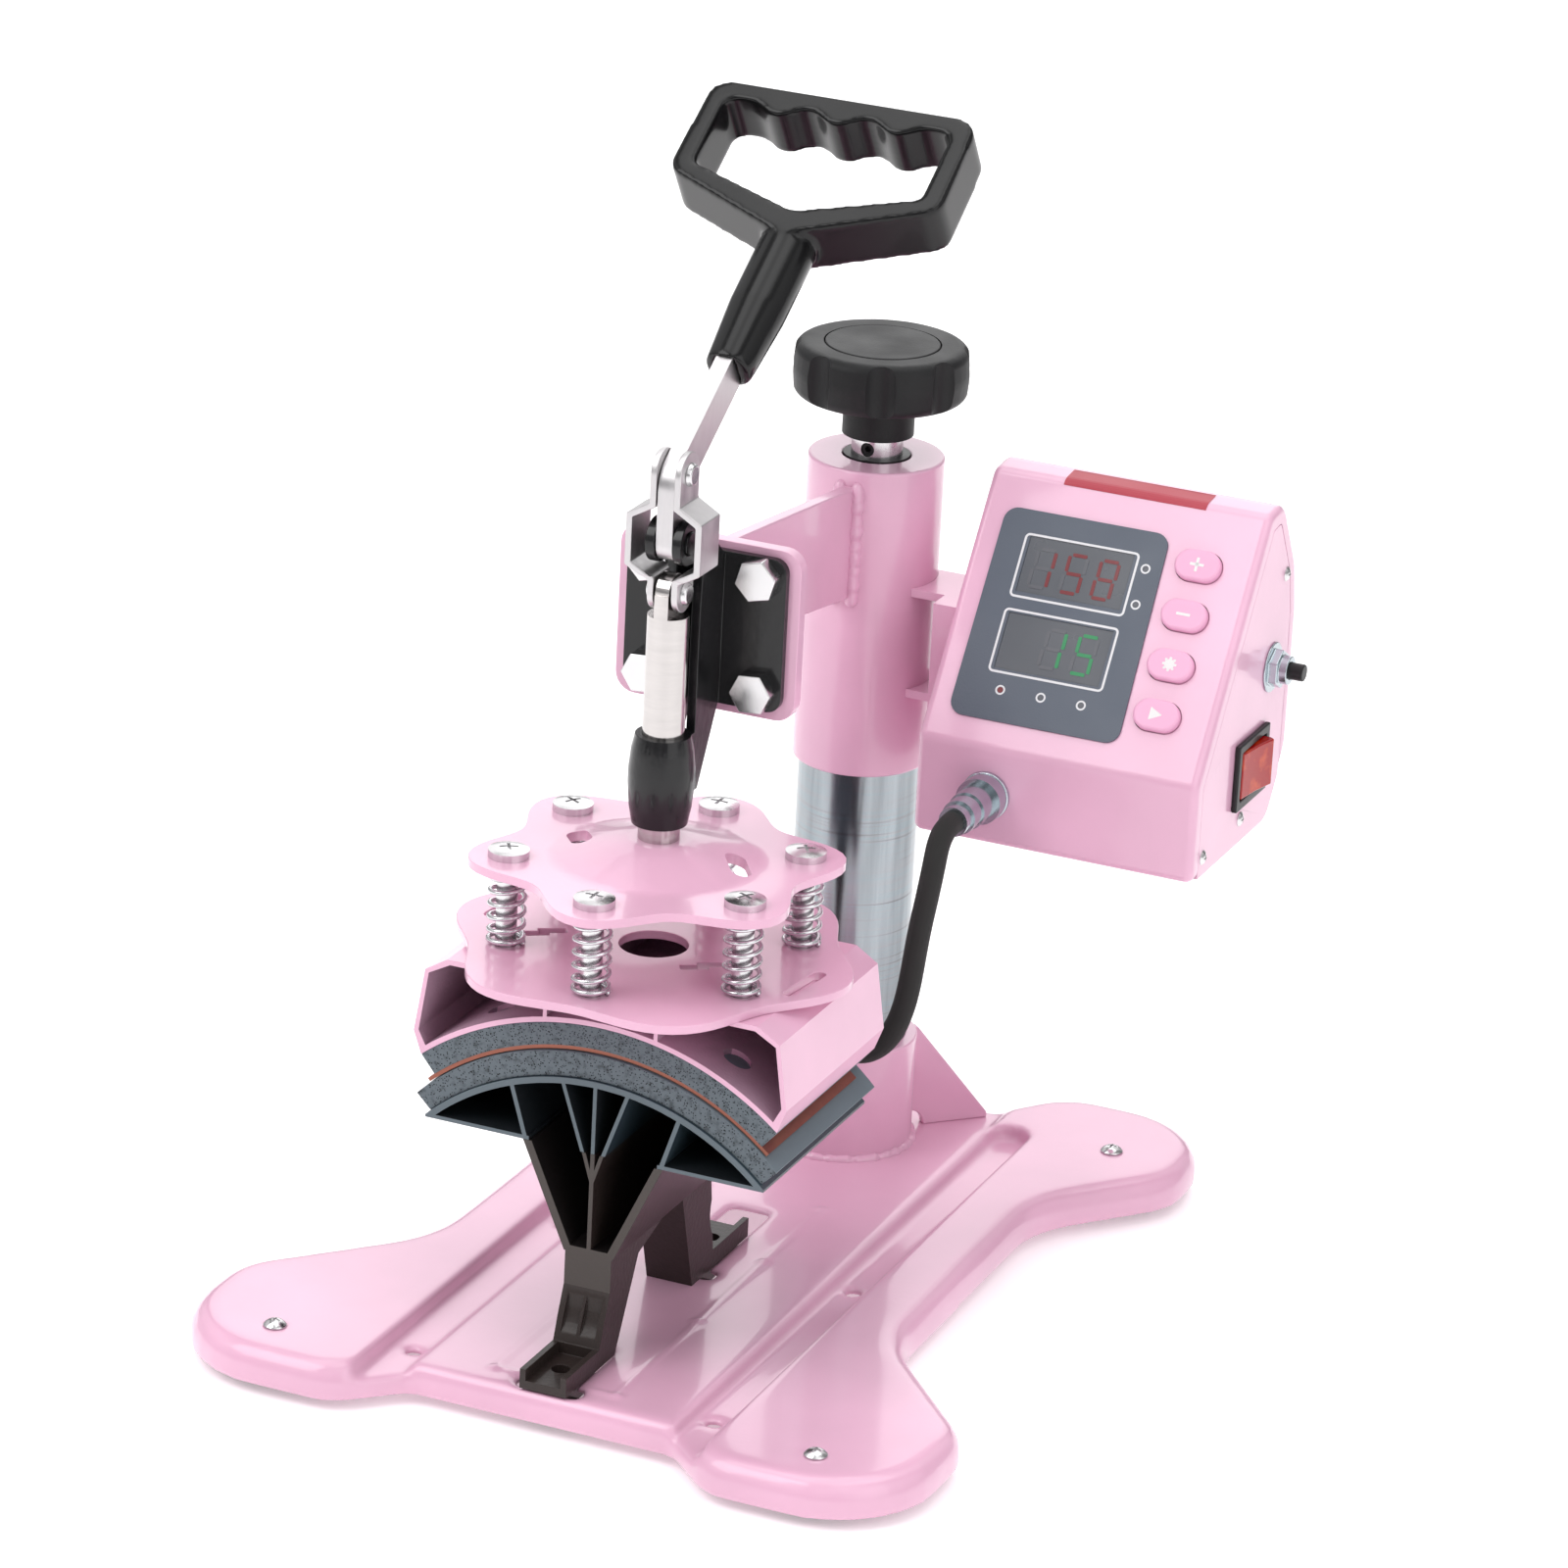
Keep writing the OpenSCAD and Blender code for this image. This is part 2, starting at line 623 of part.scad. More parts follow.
// Bent sheet between the sleeve and the left side of the box
bracket_x = 33;
module box_bracket() color(pink) difference() {
  union() {
    translate([bracket_x, 150, 189]) cube([2.5, 44, 40]);
    for (y = [150, 191.5]) translate([bracket_x, y, 189])
      cube([box_left - panel_t - bracket_x, 2.5, 40]);
    // Lower lug to the sleeve, and the closed top between the bracket's walls
    for (z = [189, 226]) translate([0, 160, z]) cube([bracket_x + over, 24, 3]);
    translate([bracket_x, 150, 226]) cube([box_left - panel_t - bracket_x, 44, 3]);
  }
  translate([0, column_y, 0]) cylinder(r = sleeve_out, h = 400, $fn = 64);
  for (z = [200, 220]) translate([20, 164, z]) rotate([0, 90, 0]) cylinder(r = 2.7, h = 20);
}

module bracket_screws() color(steel) for (z = [200, 220])
  translate([bracket_x, 164, z]) rotate([0, -90, 0]) hex_bolt(2.5, 8, 3.5, 15);

// ---- Control box ---------------------------------------------------------

box_profile = rounded([[box_front, box_bottom, 3], [box_front, slope_z, 6],
  [top_y, top_z, 5], [box_back - 20, top_z + 1.5, 9], [box_back - 4, 250, 14],
  [box_back, 232, 10], [box_back, 182, 8], [box_back - 16, box_bottom, 10]], 4);

// Side panels sit in the shell's ends, inside a lip; inset is measured from the shell's outline
module side_panel(inset) intersection() {
  polygon(box_profile);
  offset(delta = -inset) for (drop = [0, 20]) translate([0, -drop]) polygon(box_profile);
}

module box_shell() color(pink) difference() {
  along_x(box_left - panel_t, panel_out) polygon(box_profile);
  along_x(box_left + ledge_t, box_right - ledge_t) offset(delta = -box_sheet) polygon(box_profile);
  along_x(box_left - panel_t - over, panel_out + over) intersection() {
    side_panel(panel_lip + 2);
    offset(delta = -box_sheet) polygon(box_profile);
  }
  for (x = [box_left - panel_t - over, box_right]) along_x(x, x + panel_t + over)
    side_panel(panel_lip);
  on_slope() {
    for (s = button_s) translate([button_x, s, -8])
      obround(button_l + 0.6, button_d + 0.6, 16);
    translate([window_x, 27, -8]) cube([39, 50, 16]);
  }
  translate([socket_x, box_front - over, socket_z]) rotate([-90, 0, 0]) cylinder(r = 6, h = 10);
  translate([box_left + 50, box_back - 10, box_bottom + 31]) rotate([-90, 0, 0])
    cylinder(r = 8, h = 20);
}

module left_panel() color(pink) difference() {
  along_x(box_left - panel_t, box_left) side_panel(panel_lip + air);
  for (z = [200, 220]) translate([20, 164, z]) rotate([0, 90, 0]) cylinder(r = 2.7, h = 40);
}

module right_panel() color(pink) difference() {
  along_x(box_right, panel_out) side_panel(panel_lip + air);
  translate([box_right - over, breaker_y, breaker_z]) rotate([0, 90, 0]) cylinder(r = 5.2, h = 9);
  translate([box_right - over, rocker_y - rocker_l / 2 + 1.5, rocker_z - rocker_h / 2 + 1.5])
    cube([9, rocker_l - 3, rocker_h - 3]);
  for (p = screw_spots) translate([box_right - over, p.x, p.y]) rotate([0, 90, 0])
    cylinder(r = 1.4, h = 9);
}

module panel_screws() color(steel) {
  for (p = screw_spots) translate([panel_out, p.x, p.y]) rotate([0, 90, 0])
    pan_screw(1.2, 2.6, 1.4, panel_t, 3.6);
}

module display_panel() color("#46505c") on_slope() translate([box_left + 7, 9.5, 0.05]) difference() {
  linear_extrude(0.7) polygon(rounded([[0, 0, 5], [62, 0, 5], [60.5, 75.5, 5], [0.5, 75.5, 5]]));
  for (s = [18.4, 46.3]) translate([11.8, s, -over]) cube([38.2, 20.2, 3]);
}

module display_lenses() color("#333b45") on_slope() for (s = [27.9, 55.8])
  translate([window_x + 0.9, s + 0.1, 0]) cube([38, 20, 0.5]);

module display_board() color("#2f6b3d") on_slope() difference() {
  translate([box_left + 8, 10, -9]) cube([86, 76, 1.6]);
  for (x = [14, 88], s = [16, 80]) translate([box_left + x, s, -12]) cylinder(r = 1.6, h = 9);
}

module control_board() color("#2f6b3d") {
  translate([box_left + 14, box_front + 26, box_bottom + 8]) cube([70, 50, 1.6]);
  translate([box_left + 20, box_front + 34, box_bottom + 9.6]) cube([30, 26, 24]);
  translate([box_left + 58, box_front + 40, box_bottom + 9.6]) cube([19, 15, 15]);
}

module heater_socket() color(steel) translate([socket_x, box_front, socket_z])
  rotate([90, 0, 0]) difference() {
    union() {
      cylinder(r = 8.6, h = 2);
      translate([0, 0, -9]) cylinder(r = 5.9, h = 9);
    }
    translate([0, 0, -over - 4]) cylinder(r = 4.6, h = 9);
  }

module connector_plug() color(steel) translate([socket_x, box_front - 2, socket_z])
  rotate([90, 0, 0]) {
    difference() {
      cylinder(r = 8.2, h = 6);
      translate([0, 0, -over]) cylinder(r = 4.6, h = 4);
    }
    translate([0, 0, 6]) cylinder(r = 6.6, h = 10);
    translate([0, 0, 16]) cylinder(r = 6, h = 7);
    translate([0, 0, 23]) cylinder(r = 5.2, h = box_front - 2 - 23 - lead_route[0].y);
  }

module breaker_body() color(steel) translate([panel_out, breaker_y, breaker_z])
  rotate([0, 90, 0]) difference() {
    union() {
      cylinder(r = 8.8, h = 0.8);
      translate([0, 0, 0.8]) cylinder(r = 7, h = 3.2, $fn = 6);
      translate([0, 0, -16]) cylinder(r = 5, h = 23);
    }
      translate([0, 0, -6]) cylinder(r = reset_r + 0.05, h = 14);
  }

module reset_button() color(dark) translate([panel_out - 1.8, breaker_y, breaker_z])
  rotate([0, 90, 0]) cylinder(r = reset_r, h = reset_tip - panel_out + 1.8);

module rocker_frame() color(dark) translate([0, rocker_y, rocker_z]) difference() {
  union() {
    translate([panel_out, -rocker_l / 2, -rocker_h / 2]) cube([2, rocker_l, rocker_h]);
    translate([panel_out - 20, -rocker_l / 2 + 1.7, -rocker_h / 2 + 1.7])
      cube([20, rocker_l - 3.4, rocker_h - 3.4]);
  }
  translate([panel_out - 8, -rocker_l / 2 + 3.2, -rocker_h / 2 + 3.2])
    cube([20, rocker_l - 6.4, rocker_h - 6.4]);
}

rocker_pivot_x = panel_out - 1;
module power_rocker() color("#c8181c") translate([rocker_pivot_x, rocker_y, rocker_z])
  intersection() {
    translate([0, 0, -rocker_h / 2 + 3.6]) linear_extrude(rocker_h - 7.2)
      polygon([[-3, -rocker_l / 2 + 5], [3, -rocker_l / 2 + 4.2], [4.4, 0],
        [7, rocker_l / 2 - 4.2], [0, rocker_l / 2 - 5]]);
    cylinder(r = rocker_l / 2 - 3.5, h = 40, center = true);
  }

module mains_inlet() color(dark) translate([box_left + 50, box_back, box_bottom + 31])
  rotate([-90, 0, 0]) difference() {
    union() {
      cylinder(r = 11, h = 3);
      translate([0, 0, 3]) cylinder(r1 = 9, r2 = 7.5, h = 8);
      translate([0, 0, -5]) cylinder(r = 7.8, h = 5);
    }
    translate([0, 0, -6]) cylinder(r = 3.6, h = 20);
  }

module oval_button(s) color(pink) on_slope() translate([button_x, s, -5])
  obround(button_l, button_d, 6.6 + button_travel);

module plus_button() oval_button(button_s[0]);
module minus_button() oval_button(button_s[1]);
module set_button() oval_button(button_s[2]);
module start_button() oval_button(button_s[3]);

// ---- Heater lead -----------------------------------------------------------

// A tube along the points of a route, with square ends
function frame_at(route, i) =
  let (a = route[max(i - 1, 0)], b = route[min(i + 1, len(route) - 1)],
    t = (b - a) / norm(b - a), side = cross([0.3, 0, 0.95], t), u = side / norm(side))
  [route[i], u, cross(t, u)];

module tube_along(route, r, sides) {
  rings = [for (i = [0:len(route) - 1]) let (f = frame_at(route, i))
    [for (k = [0:sides - 1]) f[0] + r * (cos(360 * k / sides) * f[1] + sin(360 * k / sides) * f[2])]];
  n = len(rings);
  points = [for (ring = rings, p = ring) p];
  walls = [for (i = [0:n - 2], k = [0:sides - 1])
    let (a = i * sides + k, b = i * sides + (k + 1) % sides)
    each [[a, b, b + sides], [a, b + sides, a + sides]]];
  polyhedron(points, concat([[for (k = [sides - 1:-1:0]) k]], walls,
    [[for (k = [0:sides - 1]) (n - 1) * sides + k]]), convexity = 10);
}

module heater_lead() color(dark) tube_along(lead_route, lead_r, 12);

module lead_gland() color(steel) translate([gland_x, platen_half_d, gland_z])
  rotate([-90, 0, 0])
    cylinder(r = 6, h = lead_route[len(lead_route) - 1].y - platen_half_d, $fn = 6);

// ---- Knob and lift screw -----------------------------------------------------

module knob() color(dark) translate([0, column_y, 0]) difference() {
  union() {
    // Body with its rounded top and bottom edges
    translate([0, 0, knob_z]) rotate_extrude($fn = 64) polygon(rounded([[0, -knob_h / 2, 0.1],
      [knob_r - 1, -knob_h / 2, 4], [knob_r, 0, 20], [knob_r - 1, knob_h / 2, 4],
      [0, knob_h / 2, 0.1]]));
    translate([0, 0, hub_bottom]) cylinder(r = hub_r, h = hub_h + 4.5);
  }
  for (k = [0:7]) rotate(22.5 + 45 * k) translate([knob_r + 3.4, 0, knob_z - knob_h])
    cylinder(r = 6.6, h = 2 * knob_h);
  translate([0, 0, knob_z + knob_h / 2 - 1.6]) cylinder(r = cap_r + 0.4, h = 4);
  translate([0, 0, hub_bottom - over]) cylinder(r = spindle_r + running, h = hub_h - 0.5 + over);
}

module knob_cap() color(dark) translate([0, column_y, knob_z + knob_h / 2 - 1.6])
  cylinder(r = cap_r, h = 1.8);

module lift_screw() color(steel) translate([0, column_y, 0]) difference() {
  union() {
    translate([0, 0, 150]) cylinder(r = screw_r, h = sleeve_top - cap_t - 150 + over);
    translate([0, 0, sleeve_top - cap_t - 0.5])
      cylinder(r = spindle_r, h = hub_bottom + hub_h - 0.5 - sleeve_top + cap_t + 0.5);
  }
  translate([0, 0, hub_bottom - 4]) rotate([90, 0, 0]) cylinder(r = 2.5, h = 20);
}

module set_screw() color(dark) translate([0, column_y - spindle_r + 1, hub_bottom - 4])
  rotate([-90, 0, 0]) difference() {
    cylinder(r = 2.4, h = 6);
    translate([0, 0, -over]) cylinder(r = 1.3, h = 3, $fn = 6);
  }

// ---- Handle --------------------------------------------------------------

module lean() translate([0, 0, bend_z]) rotate([-handle_lean, 0, 0]) children();

// Side view of the flat arm: upright past the two pins, then leaning back into the grip
module arm_profile() {
  r = arm_d / 2;
  bend = r * tan(handle_lean / 2);
  along = (neck_start + 24) * [sin(handle_lean), cos(handle_lean)];
  side = r * [cos(handle_lean), -sin(handle_lean)];
  tip = [0, bend_z] + along;
  polygon(rounded([[-r, pivot_z - r, r - 0.1], [r, pivot_z - r, r - 0.1], [r, bend_z - bend, 5],
    [tip.x + side.x, tip.y + side.y, 1], [tip.x - side.x, tip.y - side.y, 1],
    [-r, bend_z + bend, 12]]));
}

module handle_arm() color(steel) difference() {
  along_x(-arm_t / 2, arm_t / 2) arm_profile();
  translate([-20, 0, pivot_z]) rotate([0, 90, 0]) cylinder(r = pivot_r + running, h = 40);
  translate([-20, 0, link_top]) rotate([0, 90, 0]) cylinder(r = pin_r + running, h = 40);
}

// Outer and inner outlines of the grip, in its own plane with the neck at the bottom
grip_outer = [[0, 2, 12], [grip_w / 2, 22, 7], [grip_w / 2 - 1, 62.5, 7],
  [-grip_w / 2 + 1, 62.5, 7], [-grip_w / 2, 22, 7]];
grip_rim = 8;
finger_top = 56;
grip_inner = [[0, 12.5, 8], [grip_w / 2 - grip_rim, 26, 3], [grip_w / 2 - grip_rim, finger_top, 5],
  [-grip_w / 2 + grip_rim, finger_top, 5], [-grip_w / 2 + grip_rim, 26, 3]];
finger_pitch = 21.5;
finger_wave = 4.4;

// Top bar's underside: three rounded ridges with the fingers' hollows between them
module finger_ridges() polygon(concat([[-1.5 * finger_pitch, finger_top + over]],
  [for (i = [-18:18]) let (x = i / 12 * finger_pitch)
    [x, finger_top - finger_wave * (1 + cos(360 * x / finger_pitch)) / 2]],
  [[1.5 * finger_pitch, finger_top + over]]));

module handle_grip() color(dark) lean() difference() {
  union() {
    translate([0, grip_t / 2, grip_start]) rotate([90, 0, 0]) linear_extrude(grip_t) difference() {
      polygon(rounded(grip_outer, 5));
      difference() {
        polygon(rounded(grip_inner, 5));
        finger_ridges();
      }
    }
    translate([0, 0, neck_start]) cylinder(r1 = 8.1, r2 = neck_r, h = 26);
    translate([0, 0, neck_start + 26]) cylinder(r = neck_r, h = grip_start - neck_start - 26 + 2);
    translate([0, 0, grip_start + 2]) sphere(r = neck_r);
  }
  translate([-arm_t / 2 - 0.1, -arm_d / 2 - 0.1, neck_start - over])
    cube([arm_t + 0.2, arm_d + 0.2, 24.5 + over]);
}

// ---- Link ----------------------------------------------------------------

module strap_section() {
  out = strap_in + strap_t;
  wide = strap_bulge + strap_t;
  z3 = link_top - 9.5;
  z2 = z3 - 4.6;
  z1 = link_bottom + 9;
  z0 = z1 - 4.6;
  polygon([[strap_in, link_top + 8], [out, link_top + 8], [out, z3], [wide, z2], [wide, z1],
    [out, z0], [out, link_bottom - 8], [strap_in, link_bottom - 8], [strap_in, z0 + 1.2],
    [strap_bulge, z1 + 1.2], [strap_bulge, z2 - 1.2], [strap_in, z3 - 1.2]]);
}

module strap_side_view() {
  translate([0, link_top]) circle(r = 7.5);
  translate([0, link_bottom]) circle(r = 6.5);
  translate([-7.5, link_bottom + 6]) square([15, link_len - 6]);
  translate([-6.5, link_bottom]) square([13, 8]);
}

module link_plates() color(steel) difference() {
  for (m = [0, 1]) mirror([m, 0, 0]) intersection() {
    along_y(-8, 8) strap_section();
    along_x(0, 20) strap_side_view();
  }
  for (z = [link_top, link_bottom]) translate([-20, 0, z]) rotate([0, 90, 0])
    cylinder(r = pin_r + running, h = 40);
}

module rivet_head(x) translate([x, 0, 0]) rotate([0, 90, 0]) cylinder(r1 = 4.2, r2 = 3.2, h = 1.8);

module link_pin() color(steel) translate([0, 0, link_top]) {
  translate([-strap_in - strap_t, 0, 0]) rotate([0, 90, 0])
    cylinder(r = pin_r, h = 2 * (strap_in + strap_t));
  for (m = [0, 1]) mirror([m, 0, 0]) rivet_head(strap_in + strap_t);
}

module link_rivets() color(steel) translate([0, 0, link_bottom]) for (m = [0, 1]) mirror([m, 0, 0]) {
  translate([strap_in, 0, 0]) rotate([0, 90, 0]) cylinder(r = pin_r, h = strap_t);
  rivet_head(strap_in + strap_t);
}

// ---- Plunger ---------------------------------------------------------------

module plunger_rod() color(steel) difference() {
  union() {
    translate([0, 0, spider_top + dome_h]) cylinder(r = rod_r, h = link_bottom - 8 - spider_top - dome_h);
    intersection() {
      cylinder(r = rod_r, h = 400);
      union() {
        translate([-tongue_t / 2, -rod_r, link_bottom - 10]) cube([tongue_t, 2 * rod_r, 10]);
        translate([-tongue_t / 2, 0, link_bottom]) rotate([0, 90, 0])
          cylinder(r = 6.2, h = tongue_t);
      }
    }
  }
  translate([-20, 0, link_bottom]) rotate([0, 90, 0]) cylinder(r = pin_r + 0.2, h = 40);
}

// Six-lobed outline: mean radius a, wave b, turned so that lobes point along phase
module lobed(a, b, phase, n = 96) polygon([for (i = [0:n - 1]) let (t = 360 * i / n)
  (a + b * cos(6 * (t - phase))) * [cos(t), sin(t)]]);

module spider_plate() color(pink) difference() {
  union() {
    translate([0, 0, spider_z]) linear_extrude(spider_t) lobed(screw_circle_r + 7, 6.5, 30);
    translate([0, 0, spider_top - 0.2]) rotate_extrude() polygon([[0, 0], [39, 0], [33, 1],
      [26, 2.9], [18, 5.3], [11, dome_h], [9, dome_h + 0.2], [0, dome_h + 0.2]]);
  }
  // Pressed hollow below the dome
  translate([0, 0, spider_z - over]) rotate_extrude() polygon([[0, 0], [34, 0], [34, over],
    [27, 2.6], [19, 5], [12, 6.8], [0, 6.8]]);
  at_spring_screws() translate([0, 0, spider_z - over]) cylinder(r = post_r + 0.3, h = 6);
  for (a = [5, 183]) rotate(a) translate([28, 0, spider_z - over]) rotate(-58) obround(15, 7, 20);
}

// ---- Upper platen ------------------------------------------------------------

module spring_plate() color(pink) difference() {
  translate([0, 0, spring_plate_z]) linear_extrude(spring_plate_t) lobed(66, 4.2, 0);
  translate([0, 0, spring_plate_z - over]) cylinder(r = 11.6, h = 9);
  at_spring_screws() translate([0, 0, spring_plate_z - over]) cylinder(r = post_r + running, h = 9);
  for (a = [-6, 174]) rotate(a) translate([57.5, 0, spring_plate_z - over]) rotate(90)
    obround(24, 4.4, 9);
  // Z-shaped slots for the wiring's clips
  for (x = [22, -36]) translate([x, -10, spring_plate_z - over]) linear_extrude(9) {
    bar([-6, -4], [2, 1], 4);
    bar([-2, 1], [6, 6], 4);
  }
}

module spring_screws() color(steel) at_spring_screws() translate([0, 0, spider_top])
  pan_screw(post_r, spring_r + 0.2, 3.6, spider_top - spring_plate_z + 3, 24);

// One coil spring: a round wire wound into a helix with flat-lying ends
module coil(r, wire, h, turns) {
  n = turns * 12;
  tube_along([for (i = [0:n]) let (t = i / n, a = 360 * turns * t)
    [r * cos(a), r * sin(a), wire / 2 + (h - wire) * t]], wire / 2, 5);
}

module pressure_springs() color(steel) at_spring_screws() translate([0, 0, spring_plate_top])
  coil(spring_r - wire_d / 2, wire_d, spring_len, 6);

housing_wall = 1.8;
shoulder = 56;

module housing_section() difference() {
  polygon([[-shoulder, spring_plate_z], [shoulder, spring_plate_z], [shoulder + 8, spring_plate_z - 5],
    [housing_half_w, 118], [tip_x, shade_z + sqrt(arch_r * arch_r - tip_x * tip_x)], [tip_x, 60],
    [-tip_x, 60], [-tip_x, shade_z + sqrt(arch_r * arch_r - tip_x * tip_x)], [-housing_half_w, 118],
    [-shoulder - 8, spring_plate_z - 5]]);
  translate([0, shade_z]) circle(r = arch_r, $fn = 120);
}

module housing_hollow() difference() {
  polygon([[-shoulder + 1, spring_plate_z - housing_wall], [shoulder - 1, spring_plate_z - housing_wall],
    [shoulder + 6.6, spring_plate_z - 6], [housing_half_w - housing_wall, 118.5], [tip_x - 2.2, 112],
    [-tip_x + 2.2, 112], [-housing_half_w + housing_wall, 118.5], [-shoulder - 6.6, spring_plate_z - 6]]);
  translate([0, shade_z]) circle(r = arch_r + housing_wall, $fn = 120);
  for (s = [-1, 1]) translate([s * 20 - 0.7, 120]) square([1.4, 30]);
}

module heater_housing() color(pink) difference() {
  along_y(-platen_half_d, platen_half_d) housing_section();
  along_y(-platen_half_d - over, platen_half_d - housing_wall) housing_hollow();
  translate([-46, -platen_half_d - over, spring_plate_z - 4])
    cube([92, 2 * platen_half_d - 8, 8]);
  at_spring_screws() translate([0, 0, 120]) cylinder(r = post_r + 1.2, h = 60);
}

module heater_pad() color("#7b858b")
  along_y(-platen_half_d, platen_half_d)
    arch_band(arch_r, pad_r, shade_z, pad_angle);

module heating_element() color("#b4674f")
  along_y(-platen_half_d + 0.5, platen_half_d - 8)
    arch_band(pad_r, element_r, shade_z, pad_angle + 2);

// ---- Nodes ---------------------------------------------------------------

place() base_plate();
place() rubber_feet();
place() foot_screws();
place() column_socket();
place() socket_gussets();
place() column_tube();
place() column_nut();
place() stand();
place() lower_platen();
place() lower_pad();
place() carriage_sleeve();
place() top_bearing();
place() arm_web();
place() backing_plate();
place() clamp_bracket();
place() bracket_bolts();
place() bracket_nuts();
place() barrel_guide();
place() handle_pivot_pin();
place() box_bracket();
place() bracket_screws();
place() box_shell();
place() left_panel();
place() right_panel();
place() panel_screws();
place() display_panel();
place() display_lenses();
place() display_board();
place() control_board();
place() heater_socket();
place() connector_plug();
place() breaker_body();
place() rocker_frame();
place() mains_inlet();
place() heater_lead();
place() knob();
place() knob_cap();
place() lift_screw();
place() set_screw();
place() handle_arm();
place() handle_grip();
place() link_plates();
place() link_pin();
place() link_rivets();
place() plunger_rod();
place() spider_plate();
place() spring_plate();
place() spring_screws();
place() pressure_springs();
place() heater_housing();
place() heater_pad();
place() heating_element();
place() lead_gland();
place() plus_button();
place() minus_button();
place() set_button();
place() start_button();
place() power_rocker();
place() reset_button();
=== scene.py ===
# %% [markdown]
# A cap heat press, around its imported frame. The frame gives every part that moves or fits at its
# true place. This lesson adds what the eye wants: rounded sheet edges, coil springs, a braided
# lead, weld beads, a lit panel, and a finish for each surface. Everything is in metres.

# %% Load the frame
import math
import bpy
import bmesh
from mathutils import Matrix, Vector


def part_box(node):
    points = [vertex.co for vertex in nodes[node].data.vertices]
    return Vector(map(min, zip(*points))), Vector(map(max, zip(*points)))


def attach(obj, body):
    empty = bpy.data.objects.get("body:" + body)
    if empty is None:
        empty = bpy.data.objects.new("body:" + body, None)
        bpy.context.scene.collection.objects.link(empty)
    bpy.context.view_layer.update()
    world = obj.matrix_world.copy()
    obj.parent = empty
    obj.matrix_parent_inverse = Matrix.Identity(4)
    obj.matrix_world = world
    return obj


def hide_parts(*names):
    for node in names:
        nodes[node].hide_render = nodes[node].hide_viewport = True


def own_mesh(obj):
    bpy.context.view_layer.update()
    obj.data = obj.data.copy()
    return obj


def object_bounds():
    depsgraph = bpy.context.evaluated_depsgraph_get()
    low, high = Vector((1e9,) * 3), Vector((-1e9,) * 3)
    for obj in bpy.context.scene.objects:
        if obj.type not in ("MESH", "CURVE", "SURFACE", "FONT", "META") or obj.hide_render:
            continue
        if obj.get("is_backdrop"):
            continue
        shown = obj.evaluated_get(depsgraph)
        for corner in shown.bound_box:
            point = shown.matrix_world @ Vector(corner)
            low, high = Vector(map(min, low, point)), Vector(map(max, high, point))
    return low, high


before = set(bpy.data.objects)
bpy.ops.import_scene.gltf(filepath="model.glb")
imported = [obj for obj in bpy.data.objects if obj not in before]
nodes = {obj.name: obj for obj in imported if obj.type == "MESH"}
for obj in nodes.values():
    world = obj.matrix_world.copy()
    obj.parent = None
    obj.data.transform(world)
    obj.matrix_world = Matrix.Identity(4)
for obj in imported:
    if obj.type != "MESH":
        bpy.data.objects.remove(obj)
cad_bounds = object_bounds()


# %% [markdown]
# The press is easiest to think about from its plunger, so places are given in millimetres from
# the plunger's axis and the ground. `at` turns them into the frame's metres, and the axis is read
# from the plunger rod's own box, so that nothing has to be fitted by eye.

# %% Places in millimetres from the plunger's axis
MM = 0.001
rod_low, rod_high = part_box("plunger_rod")
AXIS = Vector(((rod_low[0] + rod_high[0]) / 2, (rod_low[1] + rod_high[1]) / 2, 0))


def at(x, y, z):
    return AXIS + Vector((x, y, z)) * MM


def edges_of(node):
    """A node's box in millimetres from the plunger's axis: lowest and highest corner."""
    low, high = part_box(node)
    return [(Vector(c) - AXIS) / MM for c in (low, high)]


print("plunger axis", [round(v, 4) for v in AXIS])


# %% [markdown]
# The camera stands 2.3 m away with a long lens, a little above the machine and to its right, and
# it leans by three degrees. The target, the direction and the distance say all of that.

# %% Camera
VIEW_TARGET = at(28.1, 37.3, 198.5)
VIEW_TURN, VIEW_RISE, VIEW_LEAN = (math.radians(a) for a in (22.7, 20.8, 3.0))
VIEW_DISTANCE = 2.3

outward = Vector((math.sin(VIEW_TURN) * math.cos(VIEW_RISE),
                  -math.cos(VIEW_TURN) * math.cos(VIEW_RISE), math.sin(VIEW_RISE)))
camera = bpy.data.objects.new("camera", bpy.data.cameras.new("camera"))
bpy.context.collection.objects.link(camera)
camera.data.sensor_width = 36
camera.data.lens = 159.2
camera.data.clip_start, camera.data.clip_end = 0.05, 30
camera.location = VIEW_TARGET + outward * VIEW_DISTANCE
aim = (-outward).to_track_quat("-Z", "Y").to_matrix().to_4x4()
camera.matrix_world = (Matrix.Translation(camera.location) @ aim
                       @ Matrix.Rotation(VIEW_LEAN, 4, "Z"))
bpy.context.scene.camera = camera
print("camera at", [round(v, 3) for v in camera.location])


# %% [markdown]
# The heater lead is a cord of fixed length: it leaves the screwed plug under the control box,
# drops behind the heated platen, and comes up into a gland on the housing's back. Its points are
# listed and a smooth curve runs through them.

# %% The heater lead's route
LEAD_D = 8 * MM
LEAD_ROUTE = [(70, 86, 177), (70, 81, 177), (70.2, 76, 176), (70.8, 71, 173), (71.4, 67.5, 168),
              (71, 66, 162), (70, 65.8, 155), (68.8, 65.8, 148), (67.8, 65.8, 141),
              (67, 65.8, 134), (66.2, 65.8, 127), (65.2, 65.8, 120), (63.6, 65.8, 113),
              (61, 65.8, 106), (57, 65.8, 100), (51.5, 65.8, 96), (45, 65.6, 95.5),
              (39, 65, 98.5), (34.5, 64.2, 103.5), (31.8, 63.4, 109.5), (30.4, 62.8, 116),
              (29.6, 61.6, 122.5), (29.2, 58.8, 128.5), (29, 54, 134), (29, 48.5, 136),
              (29, 43.5, 136)]

